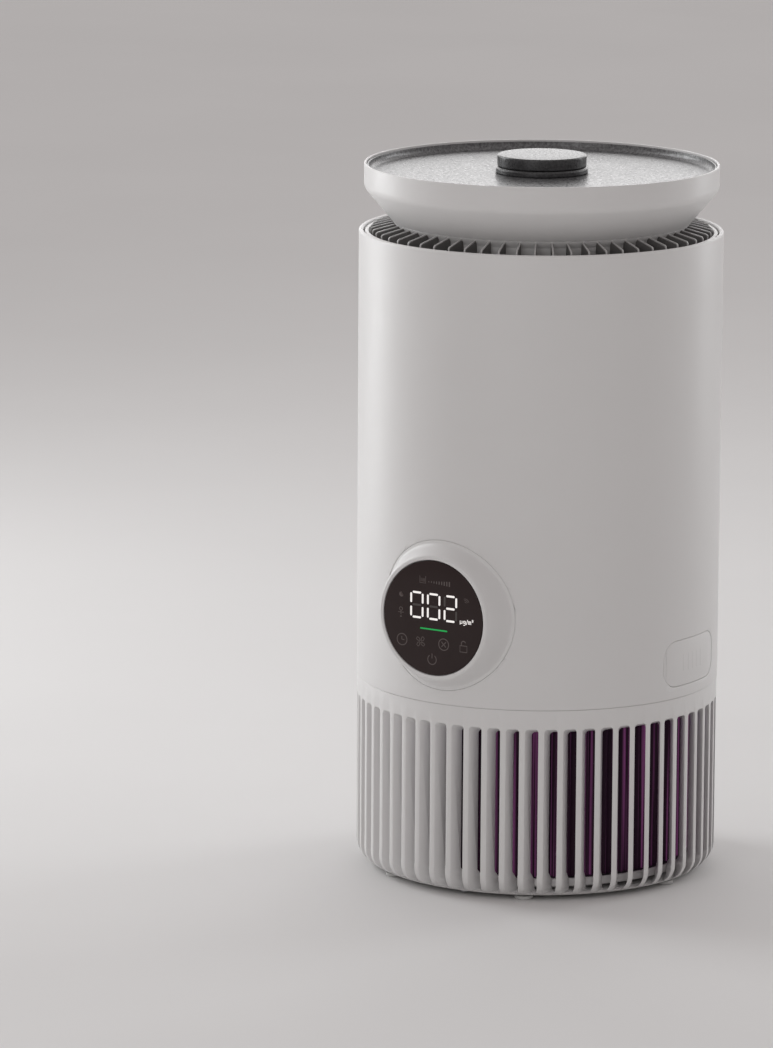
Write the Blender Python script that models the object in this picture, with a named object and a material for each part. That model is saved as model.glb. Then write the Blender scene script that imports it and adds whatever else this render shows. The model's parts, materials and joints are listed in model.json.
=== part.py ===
"""Desktop air purifier, in metres with +Z up.

Origin: middle of the bottom of the bounding box, on the surface that the feet stand on. The display faces
-Y, the two release buttons face +X and -X, and the power inlet faces +Y. Lengths are written in
millimetres and turned into metres by MM.
"""

from math import cos, pi, radians, sin, sqrt

import bmesh
import bpy
from mathutils import Vector

MM = 0.001
GAP = 0.3 * MM                      # clearance between pieces that touch

# Driving dimensions
BODY_R = 103.0 * MM                 # outer radius of the two housings
BASKET_R = 102.75 * MM              # the basket is a hair narrower than the shell
FOOT_TOP = 1.9 * MM
BASKET_BOTTOM = FOOT_TOP + GAP
BASKET_TOP = 110.9 * MM
SHELL_BOTTOM = 111.3 * MM
SHELL_TOP = 366.9 * MM
SHELL_WALL = 2.7 * MM
DISH_RIM_R = 100.2 * MM
DISH_RIM_Z = 404.4 * MM
KNOB_TOP = 409.3 * MM

# Intake basket
BAR_COUNT = 60
BAR_HALF_ANGLE = radians(0.90)
BAR_INNER_HALF_ANGLE = radians(0.55)   # a bar is thinner towards the filter
BAR_SLANT = radians(2.4)            # a bar's inner edge sits this far round from its outer edge
BAR_INNER_R = 96.6 * MM
BAR_FOOT_R = 93.2 * MM              # each bar is deeper where it stands on the bottom ring
BAR_FOOT_SLANT = radians(3.8)
BAR_FOOT_TOP = 12.0 * MM
GUSSET_TOP = 17.0 * MM
RIM_R = 99.8 * MM                   # inside of the basket's top edge
SLOT_TOP = 99.4 * MM
SLOT_TOP_INNER = 97.0 * MM
RING_INNER_R = 81.0 * MM
RING_TOP = 5.2 * MM
CURVE_WIDTH = 14.0 * MM             # the lower corner is a quarter of an ellipse
CURVE_HEIGHT = 12.0 * MM

# Base plate, feet and screws
PLATE_BOTTOM = RING_TOP + GAP
PLATE_TOP = PLATE_BOTTOM + 2.2 * MM
SEAT_TOP = 10.4 * MM
SEAT_INNER_R = 62.0 * MM
SEAT_OUTER_R = 66.5 * MM
RIM_OUTER_R = 92.8 * MM
RIM_INNER_R = 90.9 * MM
RIM_BOTTOM = 7.9 * MM
RIM_TOP = 12.2 * MM
FOOT_CIRCLE_R = 88.4 * MM
FOOT_FIRST_ANGLE = radians(27.4)
FOOT_R = 5.6 * MM
FOOT_COUNT = 6
SCREW_COUNT = 3
SCREW_HEAD_R = 3.0 * MM
SCREW_SHANK_R = 1.2 * MM
SCREW_HOLE_R = 1.7 * MM
BASE_SCREW_CIRCLE_R = 86.5 * MM
PLATE_SCREW_CIRCLE_R = 79.0 * MM

# Filter cartridge
FILTER_R = 90.4 * MM
FILTER_BOTTOM = SEAT_TOP + GAP
FILTER_TOP = 103.9 * MM
BOTTOM_CAP_THICKNESS = 1.2 * MM
TOP_CAP_THICKNESS = 2.9 * MM
PLEAT_COUNT = 60
PLEAT_OUTER_R = 88.6 * MM
PLEAT_DEPTH = 4.4 * MM
CORE_R = 55.6 * MM
CORE_WALL = 3.6 * MM

# Upper housing: floor, duct, fan and motor
FLOOR_BOTTOM = 111.6 * MM
FLOOR_TOP = 113.8 * MM
FLOOR_R = 99.8 * MM
MOUTH_R = 51.4 * MM
MOUTH_TOP = 121.0 * MM
DUCT_R = 86.5 * MM
DUCT_WALL = 2.0 * MM
DUCT_JOINT_LOW = 200.0 * MM
DUCT_JOINT_HIGH = 330.0 * MM
FLANGE_INNER_R = 74.0 * MM
LIP_R = 99.8 * MM
LIP_INNER_R = 97.2 * MM
LIP_TOP = 366.0 * MM
FAN_BOTTOM = 150.0 * MM
FAN_TOP = 196.0 * MM
FAN_TIP_R = 82.0 * MM
FAN_HUB_R = 35.0 * MM
FAN_BLADES = 7
FAN_TWIST = radians(34.0)
SHAFT_R = 3.0 * MM
SHAFT_BORE_R = SHAFT_R + GAP
SHAFT_BOTTOM = 143.5 * MM
SHAFT_TOP = 248.6 * MM
ROTOR_R = 16.6 * MM
ROTOR_BOTTOM = 212.6 * MM
ROTOR_TOP = 233.4 * MM
CAN_R = 31.0 * MM
CAN_BOTTOM = 205.0 * MM
CAN_TOP = 246.0 * MM
VANE_COUNT = 9
CONE_TOP_R = 79.8 * MM
CONE_TOP = 352.0 * MM

# Outlet grille and top dish
FIN_COUNT = 60
FIN_HALF_ANGLE = radians(0.32)
FIN_INNER_R = 82.0 * MM
FIN_FIRST_ANGLE = radians(-0.7)
FIN_OUTER_R = 96.5 * MM
FIN_OUTER_TOP = 367.8 * MM
FIN_INNER_TOP = 371.3 * MM
FIN_BOTTOM = 354.0 * MM
DISH_BOTTOM = 371.9 * MM
TRAY_FLOOR = 399.0 * MM
KNOB_R = 25.2 * MM
KNOB_BOTTOM = 402.8 * MM
COLLAR_R = 26.0 * MM
BOARD_THICKNESS = 1.6 * MM

# Display
DISPLAY_Z = 161.6 * MM
BEZEL_R = 42.6 * MM
GLASS_R = 32.4 * MM
GLASS_Y = -112.0 * MM
GLASS_THICKNESS = 2.1 * MM
AXIS_Y = -(GLASS_Y + BODY_R) / 2    # the display stands out in front, so the axis is behind the middle

# Release buttons
BUTTON_WIDTH = 53.4 * MM
BUTTON_HEIGHT = 26.1 * MM
BUTTON_Z = 130.75 * MM
BUTTON_CORNER = 10.0 * MM
BUTTON_GAP = 0.35 * MM

WHITE = ((0.74, 0.74, 0.74), 0.42, 0.0)
GREY = ((0.19, 0.19, 0.20), 0.55, 0.0)
DARK = ((0.07, 0.07, 0.07), 0.50, 0.0)
BLACK_GLASS = ((0.02, 0.015, 0.015), 0.08, 0.0)
VIOLET = ((0.06, 0.02, 0.07), 0.90, 0.0)
BOARD_GREEN = ((0.02, 0.14, 0.06), 0.45, 0.0)
STEEL = ((0.60, 0.60, 0.62), 0.30, 1.0)
RUBBER = ((0.03, 0.03, 0.03), 0.85, 0.0)
PALE_RUBBER = ((0.55, 0.55, 0.54), 0.80, 0.0)
FELT = ((0.85, 0.84, 0.80), 0.95, 0.0)


def clear_scene():
    for old in list(bpy.data.objects):
        bpy.data.objects.remove(old, do_unlink=True)


def make_empty(name, place, parent=None):
    empty = bpy.data.objects.new(name, None)
    empty.empty_display_size = 20 * MM
    bpy.context.scene.collection.objects.link(empty)
    empty.parent = parent
    empty.location = Vector(place)
    return empty


def give_material(thing, finish):
    colour, roughness, metallic = finish
    material = bpy.data.materials.new(thing.name + "_finish")
    material.use_nodes = True
    shader = material.node_tree.nodes["Principled BSDF"]
    shader.inputs["Base Color"].default_value = (*colour, 1.0)
    shader.inputs["Roughness"].default_value = roughness
    shader.inputs["Metallic"].default_value = metallic
    thing.data.materials.append(material)


def make_object(name, points, faces, finish, parent, smooth=True):
    """Points are in the object's own space, which starts at its parent."""
    mesh = bpy.data.meshes.new(name)
    mesh.from_pydata([tuple(point) for point in points], [], faces)
    work = bmesh.new()
    work.from_mesh(mesh)
    bmesh.ops.recalc_face_normals(work, faces=work.faces)
    work.to_mesh(mesh)
    work.free()
    if smooth:
        mesh.shade_smooth()
        mesh.set_sharp_from_angle(angle=radians(35))
    thing = bpy.data.objects.new(name, mesh)
    bpy.context.scene.collection.objects.link(thing)
    thing.parent = parent
    if finish:
        give_material(thing, finish)
    return thing


def polar(radius, angle, height):
    """Angle 0 is -Y, and it grows towards +X."""
    return (radius * sin(angle), -radius * cos(angle), height)


def loop_faces(ring_count, step_count, closed_rings=True):
    """Quads between rings that all have step_count points."""
    faces = []
    for ring in range(ring_count if closed_rings else ring_count - 1):
        after = (ring + 1) % ring_count
        for step in range(step_count):
            right = (step + 1) % step_count
            faces.append(
                (
                    ring * step_count + step,
                    ring * step_count + right,
                    after * step_count + right,
                    after * step_count + step,
                )
            )
    return faces


def ringed(name, rings, finish, parent):
    """A body like a torus: each ring is joined to the next, and the last to the first."""
    points = [point for ring in rings for point in ring]
    return make_object(name, points, loop_faces(len(rings), len(rings[0])), finish, parent)


def turned_ring(name, profile, segments, finish, parent):
    """Turns a closed outline of (radius, height) points that stays clear of the axis."""
    rings = [
        [polar(radius, 2 * pi * step / segments, height) for step in range(segments)]
        for radius, height in profile
    ]
    return ringed(name, rings, finish, parent)


def turned_solid(name, profile, segments, finish, parent):
    """Turns an open outline whose first and last points lie on the axis."""
    inner = profile[1:-1]
    points = [polar(0, 0, profile[0][1]), polar(0, 0, profile[-1][1])]
    for radius, height in inner:
        points += [polar(radius, 2 * pi * step / segments, height) for step in range(segments)]
    faces = []
    for quad in loop_faces(len(inner), segments, closed_rings=False):
        faces.append(tuple(corner + 2 for corner in quad))
    last = 2 + (len(inner) - 1) * segments
    for step in range(segments):
        right = (step + 1) % segments
        faces.append((0, 2 + right, 2 + step))
        faces.append((1, last + step, last + right))
    return make_object(name, points, faces, finish, parent)


def perforated(name, angles, row_count, place, is_solid, finish, parent):
    """A ring with openings.

    angles are the column edges, place(row, angle, side) gives a point on side 0 or 1 of the wall, and
    is_solid(column, row) says whether a cell is filled.
    """
    columns = len(angles)
    work = bmesh.new()
    corners = {}

    def corner(row, column, side):
        key = (row, column % columns, side)
        if key not in corners:
            corners[key] = work.verts.new(place(row, angles[column % columns], side))
        return corners[key]

    def filled(column, row):
        return 0 <= row < row_count and is_solid(column % columns, row)

    for column in range(columns):
        for row in range(row_count):
            if not filled(column, row):
                continue
            edges = [(row, column), (row, column + 1), (row + 1, column + 1), (row + 1, column)]
            for side in (0, 1):
                work.faces.new([corner(*edge, side) for edge in edges])
            neighbours = [(column, row - 1), (column + 1, row), (column, row + 1), (column - 1, row)]
            for index, neighbour in enumerate(neighbours):
                if filled(*neighbour):
                    continue
                first = edges[index]
                second = edges[(index + 1) % 4]
                wall = [corner(*first, 0), corner(*second, 0), corner(*second, 1), corner(*first, 1)]
                work.faces.new(wall)
    bmesh.ops.recalc_face_normals(work, faces=work.faces)
    mesh = bpy.data.meshes.new(name)
    work.to_mesh(mesh)
    work.free()
    thing = bpy.data.objects.new(name, mesh)
    bpy.context.scene.collection.objects.link(thing)
    thing.parent = parent
    give_material(thing, finish)
    return thing


def comb_angles(count, half_angle, gap_steps=1):
    """Column edges for count bars centred in each pitch, with gap_steps columns in each opening."""
    pitch = 2 * pi / count
    angles = []
    for index in range(count):
        middle = (index + 0.5) * pitch
        angles.append(middle - half_angle)
        gap = pitch - 2 * half_angle
        for step in range(gap_steps):
            angles.append(middle + half_angle + gap * step / gap_steps)
    return angles


def prism(name, outline, low, high, finish, parent, smooth=False):
    """An upright body with a flat outline of (x, y) points."""
    count = len(outline)
    points = [(x, y, low) for x, y in outline] + [(x, y, high) for x, y in outline]
    faces = [tuple(range(count)), tuple(range(count, 2 * count))]
    for step in range(count):
        right = (step + 1) % count
        faces.append((step, right, count + right, count + step))
    return make_object(name, points, faces, finish, parent, smooth)


def block(name, low, high, finish, parent):
    outline = [(low[0], low[1]), (high[0], low[1]), (high[0], high[1]), (low[0], high[1])]
    return prism(name, outline, low[2], high[2], finish, parent)


def rounded_outline(width, height, corner, steps):
    """A rectangle with round corners, centred on (0, 0)."""
    outline = []
    for quarter in range(4):
        across = (width / 2 - corner) * (1 if quarter in (0, 3) else -1)
        up = (height / 2 - corner) * (1 if quarter in (0, 1) else -1)
        for step in range(steps + 1):
            angle = (quarter + step / steps) * pi / 2
            outline.append((across + corner * cos(angle), up + corner * sin(angle)))
    return outline


def cut(thing, cutter):
    """Takes the cutter's shape away from the object."""
    cutter.hide_render = True
    cutter.display_type = "WIRE"
    hole = thing.modifiers.new("cut_" + cutter.name, "BOOLEAN")
    hole.operation = "DIFFERENCE"
    hole.solver = "EXACT"
    hole.object = cutter


def upright_rod(name, radius, low, high, place, segments, parent):
    """A plain upright cylinder, used as a cutter."""
    rod = turned_solid(name, [(0, low), (radius, low), (radius, high), (0, high)], segments, None, parent)
    rod.location = Vector((place[0], place[1], 0))
    return rod


def build_intake_basket(parent):
    def lower_corner(degrees):
        turn = radians(degrees)
        radius = BASKET_R - CURVE_WIDTH * (1 - cos(turn))
        return (radius, BASKET_BOTTOM + CURVE_HEIGHT * (1 - sin(turn)))

    # Outer and inner wall points from the top rim down round the lower corner to the bottom ring.
    outer = [
        (BASKET_R, BASKET_TOP),
        (BASKET_R, SLOT_TOP),
        (BASKET_R, GUSSET_TOP),
        lower_corner(0),
        lower_corner(24),
        lower_corner(42),
        lower_corner(54),
        lower_corner(72),
        lower_corner(90),
        (RING_INNER_R, BASKET_BOTTOM),
    ]
    inner = [
        (RIM_R, BASKET_TOP),
        (BAR_INNER_R, SLOT_TOP_INNER),
        (BAR_INNER_R, GUSSET_TOP),
        (BAR_FOOT_R, BAR_FOOT_TOP),
        (BAR_FOOT_R, 9.0 * MM),
        (BAR_FOOT_R, 7.0 * MM),
        (BAR_FOOT_R, RING_TOP),
        (92.0 * MM, RING_TOP),
        (87.0 * MM, RING_TOP),
        (RING_INNER_R, RING_TOP),
    ]
    walls = (outer, inner)
    slot_rows = (1, 2, 3, 4, 5)
    pitch = 2 * pi / BAR_COUNT

    def place(row, angle, side):
        radius, height = walls[side][row]
        if side == 1:
            middle = (int(angle / pitch) + 0.5) * pitch
            slant = BAR_FOOT_SLANT if radius < BAR_INNER_R else BAR_SLANT
            angle = middle + (angle - middle) * BAR_INNER_HALF_ANGLE / BAR_HALF_ANGLE + slant
        return polar(radius, angle, height)

    def is_solid(column, row):
        return row not in slot_rows or column % 2 == 0

    angles = comb_angles(BAR_COUNT, BAR_HALF_ANGLE)
    return perforated("intake_basket", angles, len(outer) - 1, place, is_solid, WHITE, parent)


def build_base_plate(parent):
    profile = [
        (0, PLATE_BOTTOM),
        (86.0 * MM, PLATE_BOTTOM),
        (RIM_OUTER_R, RIM_BOTTOM),
        (RIM_OUTER_R, RIM_TOP),
        (RIM_INNER_R, RIM_TOP),
        (RIM_INNER_R, RIM_BOTTOM + 1.8 * MM),
        (86.5 * MM, PLATE_TOP),
        (SEAT_OUTER_R, PLATE_TOP),
        (SEAT_OUTER_R, SEAT_TOP),
        (SEAT_INNER_R, SEAT_TOP),
        (SEAT_INNER_R, PLATE_TOP),
        (0, PLATE_TOP),
    ]
    return turned_solid("base_plate", profile, 36, WHITE, parent)


def build_feet(parent):
    chamfer = 0.6 * MM
    profile = [(0, 0), (FOOT_R - chamfer, 0), (FOOT_R, chamfer), (FOOT_R, FOOT_TOP), (0, FOOT_TOP)]
    for index in range(FOOT_COUNT):
        angle = FOOT_FIRST_ANGLE + index * 2 * pi / FOOT_COUNT
        foot = turned_solid(f"foot_{index + 1}", profile, 10, PALE_RUBBER, parent)
        foot.location = Vector(polar(FOOT_CIRCLE_R, angle, 0))


def build_screws(group, circle_r, first_angle, head_low, head_high, tip, parent, held):
    """Pan-head screws that point up, and their holes in the pieces that they hold."""
    profile = [
        (0, head_low),
        (0.8 * SCREW_HEAD_R, head_low),
        (SCREW_HEAD_R, (head_low + head_high) / 2),
        (SCREW_HEAD_R, head_high),
        (SCREW_SHANK_R, head_high),
        (SCREW_SHANK_R, tip),
        (0, tip),
    ]
    for index in range(SCREW_COUNT):
        angle = first_angle + index * 2 * pi / SCREW_COUNT
        place = polar(circle_r, angle, 0)
        screw = turned_solid(f"{group}_{index + 1}", profile, 8, STEEL, parent)
        screw.location = Vector(place)
        end = tip + 1 * MM
        drill = upright_rod(f"{group}_hole_{index + 1}", SCREW_HOLE_R, head_high, end, place, 8, parent)
        for thing in held:
            cut(thing, drill)


def build_filter(parent):
    cap_bottom_top = FILTER_BOTTOM + BOTTOM_CAP_THICKNESS
    cap_top_bottom = FILTER_TOP - TOP_CAP_THICKNESS
    media_low = cap_bottom_top + GAP
    media_high = cap_top_bottom - GAP
    core_inner = CORE_R - CORE_WALL
    profile = [
        (0, FILTER_BOTTOM),
        (FILTER_R, FILTER_BOTTOM),
        (FILTER_R, cap_bottom_top),
        (0, cap_bottom_top),
    ]
    turned_solid("filter_bottom_cap", profile, 32, DARK, parent)
    profile = [
        (core_inner, cap_top_bottom),
        (FILTER_R, cap_top_bottom),
        (FILTER_R, FILTER_TOP),
        (core_inner, FILTER_TOP),
    ]
    turned_ring("filter_top_cap", profile, 32, DARK, parent)
    profile = [
        (core_inner, media_low),
        (CORE_R, media_low),
        (CORE_R, media_high),
        (core_inner, media_high),
    ]
    turned_ring("carbon_core", profile, 28, DARK, parent)
    gasket_top = FLOOR_BOTTOM - GAP
    profile = [
        (61.0 * MM, FILTER_TOP + GAP),
        (69.0 * MM, FILTER_TOP + GAP),
        (67.0 * MM, gasket_top),
        (63.0 * MM, gasket_top),
    ]
    turned_ring("filter_gasket", profile, 24, RUBBER, parent)

    def pleats(radius, depth, height):
        steps = 2 * PLEAT_COUNT
        return [polar(radius - depth * (step % 2), 2 * pi * step / steps, height) for step in range(steps)]

    inner_r = CORE_R + PLEAT_DEPTH + 2 * GAP
    rings = [
        pleats(PLEAT_OUTER_R, PLEAT_DEPTH, media_low),
        pleats(PLEAT_OUTER_R, PLEAT_DEPTH, media_high),
        pleats(inner_r, PLEAT_DEPTH, media_high),
        pleats(inner_r, PLEAT_DEPTH, media_low),
    ]
    ringed("filter_media", rings, VIOLET, parent)
    tab = rounded_outline(20 * MM, 13 * MM, 4 * MM, 2)
    tab_low = FILTER_TOP + GAP
    pull_tab = prism("filter_pull_tab", tab, tab_low, tab_low + 1.2 * MM, FELT, parent)
    pull_tab.location = Vector((0, 78 * MM, 0))


def build_floor(parent):
    profile = [
        (MOUTH_R + 8.6 * MM, FLOOR_BOTTOM),
        (FLOOR_R, FLOOR_BOTTOM),
        (FLOOR_R, FLOOR_TOP),
        (MOUTH_R + 9.0 * MM, FLOOR_TOP),
        (MOUTH_R + 2.4 * MM, MOUTH_TOP),
        (MOUTH_R, MOUTH_TOP),
        (MOUTH_R + 3.0 * MM, 114.4 * MM),
    ]
    plate = turned_ring("intake_plate", profile, 36, GREY, parent)
    middle_x = 95.3 * MM
    half_x = 5.7 * MM
    half_y = 9.0 * MM
    for name, place in (("latch_window_right", middle_x), ("latch_window_left", -middle_x)):
        low = (place - half_x, -half_y, FLOOR_BOTTOM - 1 * MM)
        high = (place + half_x, half_y, FLOOR_TOP + 1 * MM)
        cut(plate, block(name, low, high, None, parent))
    return plate


def build_intake_guard(parent):
    low = MOUTH_TOP + GAP
    radii = (8 * MM, 15 * MM, 48.5 * MM, 53.4 * MM)

    def place(row, angle, side):
        return polar(radii[row], angle, low + (1.8 * MM if side else 0.0))

    def is_solid(column, row):
        return row != 1 or column % 3 == 0

    angles = comb_angles(8, radians(2.6), gap_steps=2)
    perforated("intake_guard", angles, 3, place, is_solid, GREY, parent)


def build_uv_ring(parent):
    inner_r = 86.0 * MM
    outer_r = 89.4 * MM
    top = FLOOR_BOTTOM - GAP
    low = top - 3.7 * MM
    profile = [(inner_r, low), (outer_r, low), (outer_r, top), (inner_r, top)]
    turned_ring("uv_light_ring", profile, 28, VIOLET, parent)


def build_duct(parent):
    """The duct in three lengths, stacked with a small gap: a flanged foot, a plain tube and the flare."""
    duct_bottom = FLOOR_TOP + GAP
    flange_top = duct_bottom + 2.2 * MM
    inner_r = DUCT_R - DUCT_WALL
    foot = [
        (FLANGE_INNER_R, duct_bottom),
        (DUCT_R, duct_bottom),
        (DUCT_R, DUCT_JOINT_LOW),
        (inner_r, DUCT_JOINT_LOW),
        (inner_r, flange_top),
        (FLANGE_INNER_R, flange_top),
    ]
    lowest = turned_ring("duct_foot", foot, 40, WHITE, parent)
    tube_low = DUCT_JOINT_LOW + GAP
    tube = [
        (inner_r, tube_low),
        (DUCT_R, tube_low),
        (DUCT_R, DUCT_JOINT_HIGH),
        (inner_r, DUCT_JOINT_HIGH),
    ]
    turned_ring("duct_tube", tube, 40, WHITE, parent)
    flare_low = DUCT_JOINT_HIGH + GAP
    flare = [
        (DUCT_R, flare_low),
        (DUCT_R, 340.0 * MM),
        (LIP_R, 357.0 * MM),
        (LIP_R, LIP_TOP),
        (98.2 * MM, 365.2 * MM),
        (LIP_INNER_R, 363.6 * MM),
        (LIP_INNER_R, 356.6 * MM),
        (inner_r, 341.0 * MM),
        (inner_r, flare_low),
    ]
    turned_ring("duct_flare", flare, 40, WHITE, parent)
    return lowest


def star_ring(count, root_r, tip_r, root_half, tip_half, turn, height):
    """One level of a hub with blades: four points to a blade and one more between blades."""
    ring = []
    for index in range(count):
        middle = 2 * pi * index / count + turn
        ring.append(polar(root_r, middle - root_half, height))
        ring.append(polar(tip_r, middle - tip_half, height))
        ring.append(polar(tip_r, middle + tip_half, height))
        ring.append(polar(root_r, middle + root_half, height))
        ring.append(polar(root_r, middle + pi / count, height))
    return ring


def build_stator(parent):
    low = 209.0 * MM
    high = 238.0 * MM
    bore = CAN_R + 0.5 * MM
    hub = bore + 3.0 * MM
    tip = DUCT_R - DUCT_WALL - 2 * GAP
    halves = (radians(1.8), radians(0.7))
    rings = [
        star_ring(VANE_COUNT, hub, tip, *halves, 0, low),
        star_ring(VANE_COUNT, hub, tip, *halves, 0, high),
        star_ring(VANE_COUNT, bore, bore, *halves, 0, high),
        star_ring(VANE_COUNT, bore, bore, *halves, 0, low),
    ]
    ringed("stator_vanes", rings, WHITE, parent)


def build_motor_housing(parent):
    """The can, its cap, two bearings and the toothed stator inside."""
    wall = 2.0 * MM
    inner_r = CAN_R - wall
    opening = 5.0 * MM
    profile = [
        (opening, CAN_BOTTOM),
        (CAN_R, CAN_BOTTOM),
        (CAN_R, CAN_TOP),
        (inner_r, CAN_TOP),
        (inner_r, CAN_BOTTOM + wall),
        (opening, CAN_BOTTOM + wall),
    ]
    turned_ring("motor_can", profile, 28, GREY, parent)
    cap_low = CAN_TOP + GAP
    profile = [(opening, cap_low), (CAN_R, cap_low), (CAN_R, cap_low + wall), (opening, cap_low + wall)]
    turned_ring("motor_cap", profile, 20, GREY, parent)
    bearing_r = 8.0 * MM
    for name, low in (("bearing_lower", CAN_BOTTOM + wall + GAP), ("bearing_upper", CAN_TOP - 4.5 * MM)):
        high = low + 4.0 * MM
        profile = [(SHAFT_BORE_R, low), (bearing_r, low), (bearing_r, high), (SHAFT_BORE_R, high)]
        turned_ring(name, profile, 16, STEEL, parent)
    teeth = 9
    slot_r = inner_r - 3.0 * MM
    bore_r = ROTOR_R + 2 * GAP
    low = 213.0 * MM
    high = 233.0 * MM
    rings = []
    for height, inward in ((low, False), (high, False), (high, True), (low, True)):
        ring = []
        for index in range(teeth * 4):
            angle = 2 * pi * index / (teeth * 4)
            tooth_r = bore_r if index % 4 in (0, 1) else slot_r
            ring.append(polar(tooth_r if inward else inner_r - GAP, angle, height))
        rings.append(ring)
    ringed("motor_stator", rings, DARK, parent)


def build_diffuser_cone(parent):
    wall = 2.0 * MM
    low = CAN_TOP + 3.0 * MM
    shoulder = CONE_TOP - 7.0 * MM
    profile = [
        (33.6 * MM, low),
        (36.0 * MM, low),
        (CONE_TOP_R, shoulder),
        (CONE_TOP_R, CONE_TOP),
        (CONE_TOP_R - wall, CONE_TOP),
        (CONE_TOP_R - wall, shoulder + 1.0 * MM),
    ]
    turned_ring("diffuser_cone", profile, 32, WHITE, parent)


def build_outlet_grille(parent):
    # From the inner ring out along the fins, which end free beside the duct's lip.
    ring_inner_r = FIN_INNER_R - 1.7 * MM
    tops = (
        (ring_inner_r, FIN_INNER_TOP - 0.4 * MM),
        (FIN_INNER_R, FIN_INNER_TOP),
        (FIN_OUTER_R, FIN_OUTER_TOP),
    )
    bottoms = (
        (ring_inner_r, FIN_BOTTOM),
        (FIN_INNER_R, FIN_BOTTOM),
        (FIN_OUTER_R, FIN_BOTTOM + 4.0 * MM),
    )
    sides = (tops, bottoms)

    def place(row, angle, side):
        radius, height = sides[side][row]
        return polar(radius, angle, height)

    def is_solid(column, row):
        return row == 0 or column % 2 == 0

    pitch = 2 * pi / FIN_COUNT
    turn = FIN_FIRST_ANGLE - pitch / 2
    angles = [angle + turn for angle in comb_angles(FIN_COUNT, FIN_HALF_ANGLE)]
    perforated("outlet_grille", angles, 2, place, is_solid, DARK, parent)


def build_dish(parent):
    hole_r = 25.4 * MM
    profile = [
        (hole_r, DISH_BOTTOM),
        (84.2 * MM, DISH_BOTTOM),
        (91.2 * MM, 380.2 * MM),
        (98.3 * MM, 388.5 * MM),
        (99.7 * MM, 391.0 * MM),
        (DISH_RIM_R, 394.0 * MM),
        (DISH_RIM_R, 403.7 * MM),
        (99.5 * MM, DISH_RIM_Z),
        (98.9 * MM, 404.0 * MM),
        (98.9 * MM, 394.6 * MM),
        (96.8 * MM, 390.0 * MM),
        (83.6 * MM, DISH_BOTTOM + 2.0 * MM),
        (hole_r, DISH_BOTTOM + 2.0 * MM),
    ]
    turned_ring("top_cone", profile, 44, WHITE, parent)
    tray_wall = 1.1 * MM
    tray_hole_r = 23.4 * MM
    tray_r = 98.5 * MM
    tray_top = 403.8 * MM
    profile = [
        (tray_hole_r, TRAY_FLOOR - tray_wall),
        (tray_r, TRAY_FLOOR - tray_wall),
        (tray_r, tray_top),
        (tray_r - tray_wall, tray_top),
        (tray_r - tray_wall, TRAY_FLOOR),
        (tray_hole_r, TRAY_FLOOR),
    ]
    turned_ring("top_inlay", profile, 40, GREY, parent)
    board_low = DISH_BOTTOM + 2.0 * MM + GAP
    board_high = board_low + BOARD_THICKNESS
    board_inner_r = 31.0 * MM
    board_r = 74.0 * MM
    profile = [
        (board_inner_r, board_low),
        (board_r, board_low),
        (board_r, board_high),
        (board_inner_r, board_high),
    ]
    turned_ring("main_board", profile, 28, BOARD_GREEN, parent)


def build_aroma_cup(parent):
    cup_low = DISH_BOTTOM + 1.0 * MM
    cup_floor = cup_low + 1.6 * MM
    cup_top = TRAY_FLOOR - 1.1 * MM - GAP
    bore = 22.9 * MM
    cup_r = 24.8 * MM
    rim_r = 28.5 * MM
    rim_low = cup_top - 1.2 * MM
    profile = [
        (0, cup_low),
        (cup_r, cup_low),
        (cup_r, rim_low),
        (rim_r, rim_low),
        (rim_r, cup_top),
        (bore, cup_top),
        (bore, cup_floor),
        (0, cup_floor),
    ]
    turned_solid("aroma_cup", profile, 28, WHITE, parent)
    pad_low = cup_floor + GAP
    pad_top = pad_low + 6.0 * MM
    pad_r = 21.5 * MM
    profile = [(0, pad_low), (pad_r, pad_low), (pad_r, pad_top), (0, pad_top)]
    turned_solid("aroma_pad", profile, 24, FELT, parent)
    collar_low = TRAY_FLOOR + GAP
    collar_top = KNOB_BOTTOM - GAP
    collar_bore = 22.6 * MM
    chamfer = 0.8 * MM
    profile = [
        (collar_bore, collar_low),
        (COLLAR_R, collar_low),
        (COLLAR_R, collar_top - chamfer),
        (COLLAR_R - chamfer, collar_top),
        (collar_bore, collar_top),
    ]
    turned_ring("knob_collar", profile, 28, GREY, parent)


def build_knob(parent):
    skirt_r = 22.2 * MM
    skirt_low = 393.6 * MM
    hollow_r = 20.6 * MM
    hollow_top = KNOB_TOP - 2.6 * MM
    chamfer = 0.9 * MM
    profile = [
        (0, KNOB_TOP),
        (KNOB_R - chamfer, KNOB_TOP),
        (KNOB_R, KNOB_TOP - chamfer),
        (KNOB_R, KNOB_BOTTOM),
        (skirt_r, KNOB_BOTTOM),
        (skirt_r, skirt_low),
        (hollow_r, skirt_low),
        (hollow_r, hollow_top),
        (0, hollow_top),
    ]
    turned_solid("aroma_knob", profile, 28, GREY, parent)


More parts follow.
